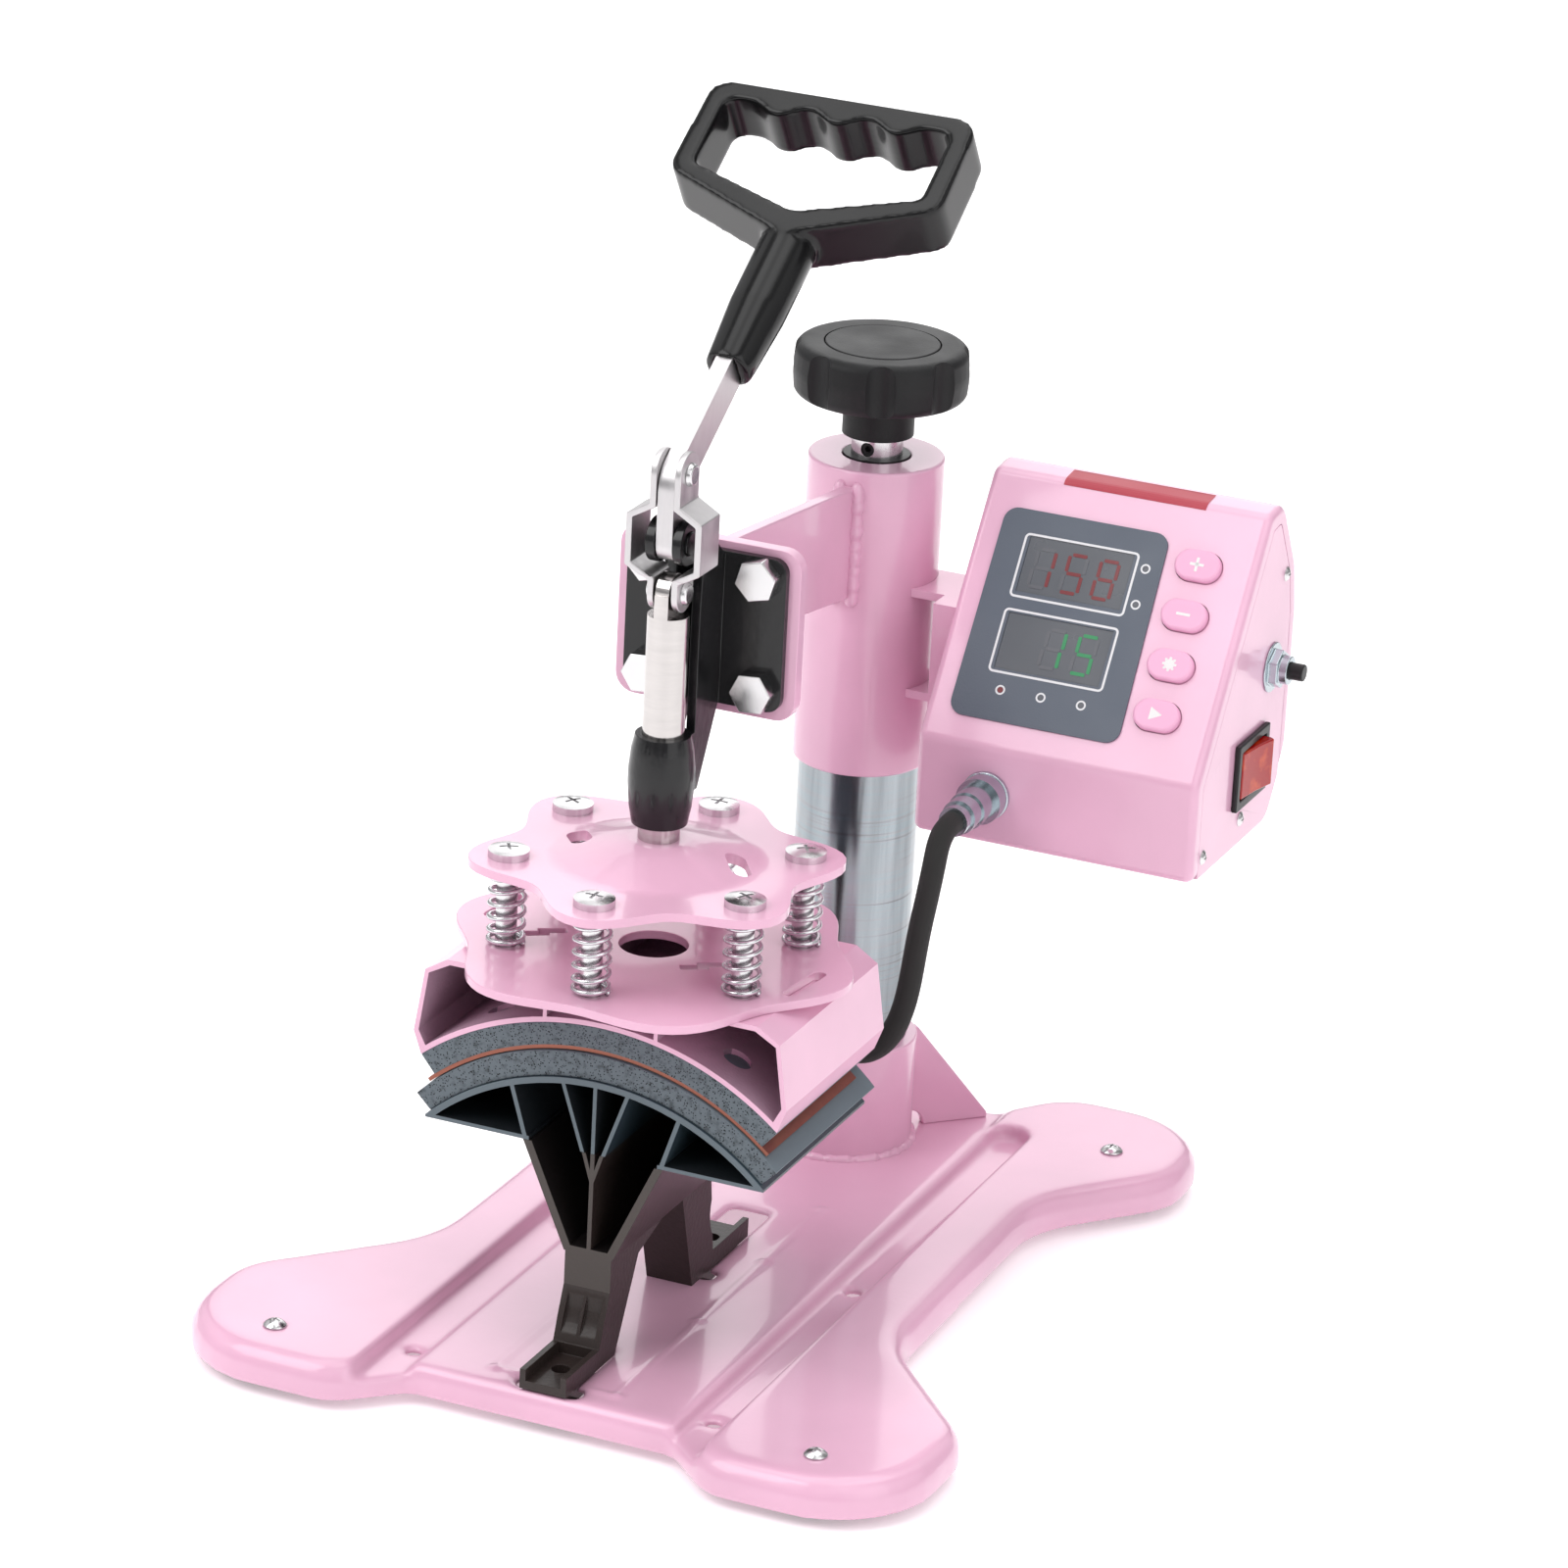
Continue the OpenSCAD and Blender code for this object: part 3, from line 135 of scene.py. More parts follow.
route = [at(*p) for p in LEAD_ROUTE]
lead_curve = bpy.data.curves.new("heater_lead_sleeve", "CURVE")
lead_curve.dimensions = "3D"
lead_curve.bevel_depth = LEAD_D / 2
lead_curve.bevel_resolution = 6
lead_curve.resolution_u = 5
spline = lead_curve.splines.new("POLY")
spline.points.add(len(route) - 1)
for point, place in zip(spline.points, route):
    point.co = (*place, 1)
spline.type = "NURBS"
spline.order_u = 4
spline.use_endpoint_u = True
spline.use_smooth = True
lead = bpy.data.objects.new("heater_lead_sleeve", lead_curve)
bpy.context.collection.objects.link(lead)


# %% [markdown]
# Each finish is one small node tree. The helpers below keep those trees short: one adds a node,
# one makes a material with its shader, and one stretches a noise over the piece in object space,
# so that the pattern stays on the metal when a joint moves it.

# %% Helpers for node trees
def new_material(name, color, rough=0.4, metal=0.0, **extra):
    mat = bpy.data.materials.new(name)
    mat.use_nodes = True
    shader = mat.node_tree.nodes["Principled BSDF"]
    shader.inputs["Base Color"].default_value = (*color, 1)
    shader.inputs["Roughness"].default_value = rough
    shader.inputs["Metallic"].default_value = metal
    for socket, value in extra.items():
        shader.inputs[socket.replace("_", " ")].default_value = value
    return mat


def node(mat, kind, **settings):
    made = mat.node_tree.nodes.new("ShaderNode" + kind)
    for key, value in settings.items():
        if key in made.inputs:
            made.inputs[key].default_value = value
        else:
            setattr(made, key, value)
    return made


def wire(mat, source, out, target, socket):
    mat.node_tree.links.new(source.outputs[out], target.inputs[socket])


def noise(mat, scale, stretch=(1, 1, 1), detail=4.0, rough=0.5):
    """Noise read from object coordinates, stretched along each axis."""
    coords = node(mat, "TexCoord")
    mapping = node(mat, "Mapping")
    mapping.inputs["Scale"].default_value = stretch
    made = node(mat, "TexNoise", Scale=scale, Detail=detail, Roughness=rough)
    wire(mat, coords, "Object", mapping, "Vector")
    wire(mat, mapping, "Vector", made, "Vector")
    return made


def ramp(mat, source, out, stops):
    """A colour ramp over a source; stops are (place, colour or grey)."""
    made = node(mat, "ValToRGB")
    while len(made.color_ramp.elements) < len(stops):
        made.color_ramp.elements.new(0.5)
    for element, (place, value) in zip(made.color_ramp.elements, stops):
        element.position = place
        element.color = (value, value, value, 1) if isinstance(value, (int, float)) else (*value, 1)
    wire(mat, source, out, made, "Fac")
    return made


def shader_of(mat):
    return mat.node_tree.nodes["Principled BSDF"]


def add_bump(mat, source, out, strength, depth):
    bump = node(mat, "Bump", Strength=strength, Distance=depth)
    wire(mat, source, out, bump, "Height")
    wire(mat, bump, "Normal", shader_of(mat), "Normal")


# %% [markdown]
# Powder paint is a coloured coat under a clear, glossy film. Real sprayed paint is never quite
# even: a slow noise shifts the pink a little, and a fine one gives the film its orange peel.
# Black paint on the clamp is the same paint over a rough casting, so its bump is coarser.

# %% Paints
def paint(name, color, rough, peel, peel_scale, coat=0.6, spread=0.05):
    mat = new_material(name, color, rough, Coat_Weight=coat, Coat_Roughness=0.08)
    if max(color) < 0.1:
        shader_of(mat).inputs["Specular IOR Level"].default_value = 0.3
    slow = noise(mat, 22)
    light = [min(1, c * (1 + spread)) for c in color]
    dark = [c * (1 - spread) for c in color]
    tint = ramp(mat, slow, "Fac", [(0.3, dark), (0.7, light)])
    wire(mat, tint, "Color", shader_of(mat), "Base Color")
    add_bump(mat, noise(mat, peel_scale, detail=2), "Fac", peel, 0.0004)
    return mat


PINK = (0.765, 0.43, 0.585)
pink_paint = paint("pink powder paint", PINK, 0.3, 0.1, 420)
black_paint = paint("black clamp paint", (0.009, 0.009, 0.01), 0.24, 0.3, 260, coat=0.25)
bronze_paint = paint("black-brown stand paint", (0.03, 0.021, 0.019), 0.4, 0.3, 600, coat=0.1)
slate_paint = paint("slate platen paint", (0.035, 0.055, 0.07), 0.35, 0.12, 500, coat=0.3)
print("paints", len(bpy.data.materials))


# %% [markdown]
# Zinc plate on rolled steel is bright, streaky and slightly iridescent. The column was turned and
# slid in its sleeve, so it has rings of fine scratches. Stamped parts have a plain satin zinc
# with a grain along their length, and the springs and bolts are brighter.

# %% Metals
def plated(name, color, low, high, stretch, scale, tone=0.12, dent=0.12):
    mat = new_material(name, color, (low + high) / 2, 1.0)
    grain = noise(mat, scale, stretch, detail=6, rough=0.65)
    shade = ramp(mat, grain, "Fac", [(0.3, [c * (1 - tone) for c in color]), (0.7, color)])
    gloss = ramp(mat, grain, "Fac", [(0.25, low), (0.75, high)])
    wire(mat, shade, "Color", shader_of(mat), "Base Color")
    wire(mat, gloss, "Color", shader_of(mat), "Roughness")
    add_bump(mat, grain, "Fac", dent, 0.0002)
    return mat


column_zinc = plated("zinc column", (0.46, 0.48, 0.5), 0.12, 0.3, (9, 9, 0.6), 11,
                     tone=0.45, dent=0.03)
rings = ramp(column_zinc, noise(column_zinc, 60, (0.2, 0.2, 14), detail=3), "Fac",
             [(0.3, (0.5, 0.5, 0.52)), (0.42, (0.9, 0.9, 0.92)), (0.62, (0.8, 0.93, 0.98))])
worn = node(column_zinc, "MixRGB", blend_type="MULTIPLY", Fac=0.7)
shade = shader_of(column_zinc).inputs["Base Color"].links[0].from_node
wire(column_zinc, shade, "Color", worn, "Color1")
wire(column_zinc, rings, "Color", worn, "Color2")
wire(column_zinc, worn, "Color", shader_of(column_zinc), "Base Color")
stamped_zinc = plated("stamped zinc", (0.66, 0.64, 0.65), 0.25, 0.5, (6, 6, 1), 60)
bright_steel = plated("bright steel", (0.74, 0.73, 0.74), 0.15, 0.32, (1, 1, 1), 90)
spring_steel = plated("spring wire", (0.7, 0.7, 0.72), 0.14, 0.3, (1, 1, 1), 150)
rod_steel = plated("ground rod", (0.6, 0.57, 0.56), 0.1, 0.22, (1, 1, 8), 60)
blued_nut = plated("blue zinc", (0.5, 0.56, 0.6), 0.15, 0.3, (1, 1, 1), 90)
print("metals", len(bpy.data.materials))


# %% [markdown]
# The grip is a glossy moulding, the knob a matte one with a fine spark-eroded grain. The foam
# pads are closed-cell silicone: dark with fine pits, which is a Voronoi pattern cut sharp. The
# pits are bumped and coloured near-black, and that near-black is painted shade.

# %% Plastics, rubber and foam
def moulded(name, color, rough, grain, scale, coat=0.0):
    mat = new_material(name, color, rough, Coat_Weight=coat, Coat_Roughness=0.05)
    if max(color) < 0.05:
        shader_of(mat).inputs["Specular IOR Level"].default_value = 0.3
    add_bump(mat, noise(mat, scale, detail=2), "Fac", grain, 0.0002)
    uneven = ramp(mat, noise(mat, 40), "Fac", [(0.3, rough * 0.85), (0.7, min(1, rough * 1.15))])
    wire(mat, uneven, "Color", shader_of(mat), "Roughness")
    return mat


grip_plastic = moulded("glossy grip", (0.004, 0.004, 0.0045), 0.22, 0.03, 300, coat=0.1)
knob_plastic = moulded("knob moulding", (0.01, 0.01, 0.011), 0.5, 0.25, 1500)
black_plastic = moulded("black plastic", (0.014, 0.014, 0.015), 0.35, 0.12, 1200)
rubber = moulded("foot rubber", (0.018, 0.018, 0.018), 0.75, 0.3, 900)
button_pink = moulded("button rubber", (0.83, 0.43, 0.62), 0.45, 0.1, 1200)
board_green = moulded("circuit board", (0.02, 0.13, 0.05), 0.4, 0.1, 900)
rocker_red = moulded("red rocker", (0.3, 0.004, 0.005), 0.14, 0.02, 300, coat=0.3)
shader_of(rocker_red).inputs["Specular IOR Level"].default_value = 0.3
glow = ramp(rocker_red, noise(rocker_red, 160), "Fac",
            [(0.5, (0.25, 0.0, 0.0)), (0.68, (1.0, 0.2, 0.02))])
wire(rocker_red, glow, "Color", shader_of(rocker_red), "Emission Color")
shader_of(rocker_red).inputs["Emission Strength"].default_value = 0.25
copper = plated("copper foil", (0.38, 0.15, 0.11), 0.35, 0.6, (1, 1, 1), 120, tone=0.35)

foam_side = paint("foam skin", (0.13, 0.16, 0.185), 0.7, 0.2, 900, coat=0)
foam = new_material("cut silicone foam", (0.1, 0.125, 0.14), 0.8)
cells = node(foam, "TexVoronoi", Scale=1150.0, feature="F1")
foam_coords = node(foam, "TexCoord")
wire(foam, foam_coords, "Object", cells, "Vector")
# painted shade: the pits in the foam are coloured near-black, as if in shadow.
shaded_pits = ramp(foam, cells, "Distance", [(0.24, (0.002, 0.003, 0.004)), (0.33, (0.12, 0.145, 0.165))])
blotch = node(foam, "MixRGB", blend_type="MULTIPLY", Fac=0.8)
wire(foam, shaded_pits, "Color", blotch, "Color1")
uneven_cells = ramp(foam, noise(foam, 420), "Fac", [(0.3, 0.35), (0.5, 1.0)])
wire(foam, uneven_cells, "Color", blotch, "Color2")
wire(foam, blotch, "Color", shader_of(foam), "Base Color")
add_bump(foam, shaded_pits, "Color", 0.6, 0.0004)
# painted shade: the inside of the heater housing is the pink darkened to about half, and rougher.
housing_painted_shade = paint("housing inside, pink with painted shade", (0.4, 0.25, 0.33), 0.75, 0.5, 900, coat=0, spread=0.18)
slate_edge = paint("slate cut edge", (0.1, 0.13, 0.15), 0.5, 0.2, 700, coat=0)
# painted shade: the underside of the lower platen is its slate paint darkened to a fifth.
slate_painted_shade = paint("slate with painted shade underneath", (0.008, 0.011, 0.014), 0.6, 0.2, 500, coat=0)
bronze_edge = paint("stand cut edge", (0.07, 0.06, 0.055), 0.5, 0.2, 700, coat=0)
# painted shade: the inner faces of the stand are its paint darkened to a fifth.
stand_painted_shade = paint("stand paint with painted shade inside", (0.006, 0.004, 0.004), 0.6, 0.2, 500, coat=0)
print("all finishes so far", len(bpy.data.materials))


# %% [markdown]
# The lead's sleeve is braided yarn. The curve gives its own UV: u runs round the lead and v along
# it, so two crossed waves on the UV make the diamond pattern of a braid.

# %% Braided sleeve
braid = new_material("braided sleeve", (0.02, 0.02, 0.021), 0.7)
braid_uv = node(braid, "TexCoord")
strands = []
for turn in (1, -1):
    slant = node(braid, "Mapping")
    slant.inputs["Scale"].default_value = (150, 14, 1)
    slant.inputs["Rotation"].default_value = (0, 0, math.radians(45 * turn))
    wave = node(braid, "TexWave", Scale=1.6, wave_profile="SIN")
    wire(braid, braid_uv, "UV", slant, "Vector")
    wire(braid, slant, "Vector", wave, "Vector")
    strands.append(wave)
weave = node(braid, "Math", operation="MAXIMUM")
wire(braid, strands[0], "Fac", weave, 0)
wire(braid, strands[1], "Fac", weave, 1)
yarn = ramp(braid, weave, "Value", [(0.2, (0.004, 0.004, 0.004)), (0.9, (0.045, 0.043, 0.042))])
wire(braid, yarn, "Color", shader_of(braid), "Base Color")
add_bump(braid, weave, "Value", 0.9, 0.0006)
lead_curve.materials.append(braid)
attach(lead, "carriage")
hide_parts("heater_lead")


# %% [markdown]
# A CAD node has razor-sharp edges, and nothing made of sheet or cast metal does. `soften` copies
# a node, joins its loose triangles, clears the flat ones and bevels what is left, so the copy has
# the same shape with a small round on every edge. The copy then stands for the node.

# %% Soft-edged copies of frame nodes
def finish_piece(piece, body, mat, stands_for=()):
    piece.data.materials.clear()
    piece.data.materials.append(mat)
    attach(piece, body)
    if stands_for:
        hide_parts(*stands_for)
    return piece


def piece_from(name, bm, smooth=True):
    mesh = bpy.data.meshes.new(name)
    bm.to_mesh(mesh)
    bm.free()
    piece = bpy.data.objects.new(name, mesh)
    bpy.context.collection.objects.link(piece)
    if smooth:
        mesh.shade_smooth()
    return piece


def joined_copy(name):
    """A bmesh of a frame node with its triangles joined and its flat faces cleared."""
    bm = bmesh.new()
    bm.from_mesh(nodes[name].data)
    bmesh.ops.remove_doubles(bm, verts=bm.verts, dist=2e-6)
    bmesh.ops.dissolve_limit(bm, angle_limit=math.radians(2), verts=bm.verts, edges=bm.edges)
    return bm


def soften(name, body, mat, width=0.5, steps=3, angle=28):
    piece = piece_from(name + "_soft", joined_copy(name))
    bevel = piece.modifiers.new("round", "BEVEL")
    bevel.width = width * MM
    bevel.segments = steps
    bevel.limit_method = "ANGLE"
    bevel.angle_limit = math.radians(angle)
    bevel.use_clamp_overlap = True
    bevel.miter_outer = "MITER_ARC"
    normals = piece.modifiers.new("shade", "WEIGHTED_NORMAL")
    normals.keep_sharp = True
    return finish_piece(piece, body, mat, [name])


SOFTENED = [
    ("column_socket", "base", "pink_paint", pink_paint, 0.8),
    ("socket_gussets", "base", "pink_paint", pink_paint, 0.6),
    ("carriage_sleeve", "carriage", "pink_paint", pink_paint, 1.2),
    ("arm_web", "carriage", "pink_paint", pink_paint, 0.7),
    ("backing_plate", "carriage", "pink_paint", pink_paint, 1.2),
    ("box_bracket", "carriage", "pink_paint", pink_paint, 0.6),
    ("left_panel", "carriage", "pink_paint", pink_paint, 0.35),
    ("right_panel", "carriage", "pink_paint", pink_paint, 0.35),
    ("spider_plate", "plunger", "pink_paint", pink_paint, 0.9),
    ("spring_plate", "heated_platen", "pink_paint", pink_paint, 0.9),
    ("heater_housing", "heated_platen", "pink_paint", pink_paint, 0.5),
    ("clamp_bracket", "carriage", "black_paint", black_paint, 0.8),
    ("barrel_guide", "carriage", "black_paint", black_paint, 1.0),
    ("stand", "lower_platen_set", "bronze_paint", bronze_paint, 0.5),
    ("lower_platen", "lower_platen_set", "slate_paint", slate_paint, 0.4),
    ("lower_pad", "lower_platen_set", "silicone_foam", foam, 0.4),
    ("heater_pad", "heated_platen", "silicone_foam", foam, 0.4),
    ("handle_arm", "handle", "zinc", stamped_zinc, 0.6),
    ("link_plates", "link", "zinc", stamped_zinc, 0.5),
    ("link_pin", "link", "zinc", bright_steel, 0.5),
    ("link_rivets", "link", "zinc", bright_steel, 0.5),
    ("plunger_rod", "plunger", "zinc", rod_steel, 0.6),
    ("knob", "knob", "knob_plastic", knob_plastic, 1.2),
    ("knob_cap", "knob", "knob_plastic", knob_plastic, 0.6),
    ("bracket_bolts", "carriage", "bolt_steel", bright_steel, 0.6),
    ("bracket_nuts", "carriage", "bolt_steel", bright_steel, 0.6),
    ("bracket_screws", "carriage", "bolt_steel", bright_steel, 0.4),
    ("spring_screws", "heated_platen", "bolt_steel", bright_steel, 0.5),
    ("foot_screws", "base", "bolt_steel", bright_steel, 0.3),
    ("handle_pivot_pin", "carriage", "bolt_steel", black_paint, 0.5),
    ("rocker_frame", "carriage", "black_plastic", black_plastic, 0.6),
    ("power_rocker", "rocker", "rocker_red", rocker_red, 0.6),
    ("reset_button", "reset_key", "black_plastic", black_plastic, 0.5),
    ("breaker_body", "carriage", "bolt_steel", blued_nut, 0.5),
    ("heater_socket", "carriage", "bolt_steel", blued_nut, 0.5),
    ("plus_button", "plus_key", "button_pink", button_pink, 1.2),
    ("minus_button", "minus_key", "button_pink", button_pink, 1.2),
    ("set_button", "set_key", "button_pink", button_pink, 1.2),
    ("start_button", "start_key", "button_pink", button_pink, 1.2),
    ("rubber_feet", "base", "rubber_black", rubber, 0.8),
    ("mains_inlet", "carriage", "black_plastic", black_plastic, 0.6),
]
soft = {}
for part, body, slot, mat, width in SOFTENED:
    soft[part] = soften(part, body, mat, width)
print("softened", len(SOFTENED))


# %% [markdown]
# Some nodes show more than one surface: foam is speckled where it was cut and smooth on its skin.
# The heater housing is pink outside and a darker, rougher pink inside, and that darkness is painted
# shade. The lower platen and the stand get near-black copies of their paint inside, which is
# painted shade too. Each face of the copy is sorted by where it is and which way it looks, before
# its rounded edges are made.

# %% Faces sorted by surface
def sort_faces(name, mats, choose):
    mesh = soft[name].data
    for mat in mats:
        mesh.materials.append(mat)
    for face in mesh.polygons:
        face.material_index = choose((face.center - AXIS) / MM, face.normal)


HOUSING_TOP, ARCH_R, ARCH_Z, SADDLE_R, SADDLE_Z = 145.3, 101.5, 31.5, 88.5, 25.8


# Index 1 takes the housing's painted shade: the inside faces and a narrow upward strip beside the arch.
def housing_face(c, n):
    reach = math.hypot(c.x, c.z - ARCH_Z)
    if ARCH_R + 0.6 < reach < ARCH_R + 4 and n.z > 0.3:
        return 1
    outside = (abs(n.y) > 0.7 or c.z > HOUSING_TOP or (n.x * c.x > 0 and abs(c.x) > 55)
               or abs(reach - ARCH_R) < 0.6)
    return 0 if outside else 1


# Index 2 is the painted shade on faces inside the saddle's curve; index 1 is the cut edge.
def platen_face(c, n):
    if abs(n.y) > 0.7:
        return 1
    return 2 if math.hypot(c.x, c.z - SADDLE_Z) < SADDLE_R - 1 and n.z * (c.z - 88) >= -0.5 else 0


# Index 2 is the painted shade on the stand's inner faces; index 1 is its front cut edge.
def stand_face(c, n):
    if n.y < -0.7 and c.z > 51 and c.y < -40:
        return 1
    return 2 if c.z > 53 and abs(c.x) < 23 and c.y < 33 and n.x * c.x <= 0 else 0


sort_faces("lower_pad", [foam_side], lambda c, n: 0 if abs(n.y) > 0.7 else 1)
sort_faces("heater_pad", [foam_side], lambda c, n: 0 if abs(n.y) > 0.7 else 1)
sort_faces("heater_housing", [housing_painted_shade], housing_face)
sort_faces("lower_platen", [slate_edge, slate_painted_shade], platen_face)
sort_faces("stand", [bronze_edge, stand_painted_shade], stand_face)


# %% [markdown]
# The rest of the frame's nodes are already the right shape, and only need their finish.

# %% Finishes on plain nodes
PLAIN = {
    "column_tube": column_zinc, "column_nut": bright_steel, "top_bearing": black_plastic,
    "display_board": board_green, "control_board": board_green, "connector_plug": blued_nut,
    "lift_screw": bright_steel, "set_screw": black_plastic, "heating_element": copper,
    "lead_gland": blued_nut, "panel_screws": bright_steel,
}
for name, mat in PLAIN.items():
    nodes[name].data.materials.clear()
    nodes[name].data.materials.append(mat)
print("plain", sorted(PLAIN))


# %% [markdown]
# The base is one pressing: every step in it has a soft radius, top and bottom. Bevels can't round
# steps that run into each other, so the node is rebuilt as an even skin of small faces (a voxel
# remesh) and smoothed. Beads and dimples beside the slots are pushed up afterwards, and a groove
# that joins the two slots is pushed down.

# %% The pressed base
def evaluated_mesh(piece):
    """The piece with its modifiers applied, as a new mesh."""
    graph = bpy.context.evaluated_depsgraph_get()
    return bpy.data.meshes.new_from_object(piece.evaluated_get(graph))


def melted(piece, voxel, rounds):
    """Rebuilds a piece as an even skin of small faces and smooths its steps."""
    skin = piece.modifiers.new("skin", "REMESH")
    skin.mode = "VOXEL"
    skin.voxel_size = voxel * MM
    melt = piece.modifiers.new("melt", "SMOOTH")
    melt.factor, melt.iterations = 0.5, rounds
    piece.data = evaluated_mesh(piece)
    piece.modifiers.clear()
    piece.data.shade_smooth()
    return piece


base = melted(piece_from("base_pressing", joined_copy("base_plate")), 1.4, 14)


def hump(distance, half_width):
    """1 on a line, falling smoothly to 0 at half_width."""
    t = min(1, abs(distance) / half_width)
    return (1 + math.cos(math.pi * t)) / 2


DIMPLE_Y = (-64, 2, 56, 106)
BEAD_X = 22
GROOVE_W, GROOVE_Y = 7.5, (-32, 36)
DECK_DROP = 3.4
deck_level = edges_of("base_plate")[1].z - DECK_DROP
for v in base.data.vertices:
    p = (v.co - AXIS) / MM
    if p.z < deck_level - 1 or abs(p.x) > 40:
        continue
    lift = 0.0
    if abs(p.x) < GROOVE_W and p.y > GROOVE_Y[0]:
        lift = -2.0 * min(1, (GROOVE_W - abs(p.x)) / 1.6) * min(1, max(0, (GROOVE_Y[1] - p.y) / 1.6))
    elif DIMPLE_Y[0] < p.y < DIMPLE_Y[-1]:
        lift = 0.45 * hump(abs(p.x) - BEAD_X, 2.2)
    if p.y < -50 and 9 < abs(p.x) < BEAD_X:
        lift = max(lift, 0.5 * hump(p.y - DIMPLE_Y[0], 2.4))
    for y in DIMPLE_Y:
        lift = max(lift, 1.0 * hump(math.hypot(abs(p.x) - BEAD_X, p.y - y), 3.6))
    v.co.z += lift * MM
finish_piece(base, "base", pink_paint, ["base_plate"])
print("base faces", len(base.data.polygons))


# %% [markdown]
# The grip is moulded in one shot over the arm, with big soft edges and finger hollows that run
# into each other. That is the same kind of shape as the pressing, so it is made the same way.

# %% The moulded grip
grip = melted(piece_from("grip_moulding", joined_copy("handle_grip")), 0.8, 16)
finish_piece(grip, "handle", grip_plastic, ["handle_grip"])
print("grip faces", len(grip.data.polygons))


# %% [markdown]
# The control box is a folded sheet whose ends roll over before they meet the side panels. Only
# the edges round both ends get that roll, so they are picked by where they lie and bevelled by an
# operator. The label on its top is cut from the box's own skin and lifted off it.

# %% The control box's shell
bm = joined_copy("box_shell")
shell_low, shell_high = min(v.co.x for v in bm.verts), max(v.co.x for v in bm.verts)
middle = sum((v.co for v in bm.verts), Vector()) / len(bm.verts)
for f in bm.faces:
    f.tag = abs(f.normal.x) < 0.1 and f.normal.dot(f.calc_center_median() - middle) > 0
ends = [e for e in bm.edges if len(e.link_faces) == 2 and sum(f.tag for f in e.link_faces) == 1
        and all(min(abs(v.co.x - shell_low), abs(v.co.x - shell_high)) < 1e-5 for v in e.verts)]
bmesh.ops.triangulate(bm, faces=[f for f in bm.faces if f.tag and len(f.verts) > 12])
bmesh.ops.bevel(bm, geom=ends, offset=2.8 * MM, offset_type="OFFSET", segments=5, profile=0.5,
                affect="EDGES", material=-1)
shell = piece_from("box_shell_rolled", bm)
shell.data.set_sharp_from_angle(angle=math.radians(35))
even = shell.modifiers.new("shade", "WEIGHTED_NORMAL")
even.keep_sharp = True
finish_piece(shell, "carriage", pink_paint, ["box_shell"])
print("rolled edges", len(ends))

label_red = moulded("label red", (0.42, 0.03, 0.055), 0.4, 0.05, 900)
label_white = moulded("label white", (0.8, 0.78, 0.78), 0.45, 0.05, 900)
LABEL_X, LABEL_Y = (70, 122), (171, 181)
bm = joined_copy("box_shell")
under = [f for f in bm.faces if f.normal.z < 0.3 or f.calc_center_median().z < 190 * MM]
bmesh.ops.delete(bm, geom=under, context="FACES")
for limits, axis in ((LABEL_X, (1, 0, 0)), (LABEL_Y, (0, 1, 0))):
    for limit, way in zip(limits, (-1, 1)):
        spot = at(limit if axis[0] else 0, limit if axis[1] else 0, 0)
        bmesh.ops.bisect_plane(bm, geom=bm.verts[:] + bm.edges[:] + bm.faces[:], plane_co=spot,
                               plane_no=[way * a for a in axis], clear_outer=True, dist=1e-6)
border = bmesh.ops.inset_region(bm, faces=bm.faces[:], thickness=0.9 * MM, use_boundary=True,
                                use_even_offset=True)["faces"]
for face in border:
    face.material_index = 1
for v in bm.verts:
    v.co += Vector((0, -0.25, 0.97)) * 0.15 * MM
label = piece_from("top_label", bm, smooth=False)
finish_piece(label, "carriage", label_red)
label.data.materials.append(label_white)
print("label faces", len(label.data.polygons))


# %% [markdown]
# A coil spring is one round wire carried round and up. bmesh's spin does exactly that: it turns a
# circle about the screw's axis and lifts it a little at every step. The last turn at each end is
# flat, so the spring sits square on its plates. The coils span the height of the frame's spring
# node.

# %% Pressure springs
SPRING_TURNS, SPRING_STEPS = 7, 20
spring_low, spring_high = edges_of("pressure_springs")
WIRE_R = 0.85
COIL_OUTER_R, SCREW_CIRCLE_R = 6.7, 49.2
coil_r = COIL_OUTER_R - WIRE_R
spring_h = spring_high.z - spring_low.z


def spring_at(bm, x, y):
    """Adds one coil around an upright axis through x, y."""
    centre = at(x, y, spring_low.z + WIRE_R)
    made = bmesh.ops.create_circle(bm, segments=10, radius=WIRE_R * MM)
    ring = made["verts"]
    turn = Matrix.Translation(centre + Vector((coil_r * MM, 0, 0))) @ Matrix.Rotation(math.pi / 2, 4, "X")
    bmesh.ops.transform(bm, verts=ring, matrix=turn)
    rise = spring_h - 2 * WIRE_R
    front = list({e for v in ring for e in v.link_edges})
    plan = [(1, 0.06), (SPRING_TURNS - 2, 0.88), (1, 0.06)]
    for turns, share in plan:
        steps = SPRING_STEPS * turns
        made = bmesh.ops.spin(bm, geom=front, cent=centre, axis=(0, 0, 1), angle=math.tau * turns,
                              dvec=(0, 0, rise * share * MM / steps), steps=steps)
        front = [g for g in made["geom_last"] if isinstance(g, bmesh.types.BMEdge)]


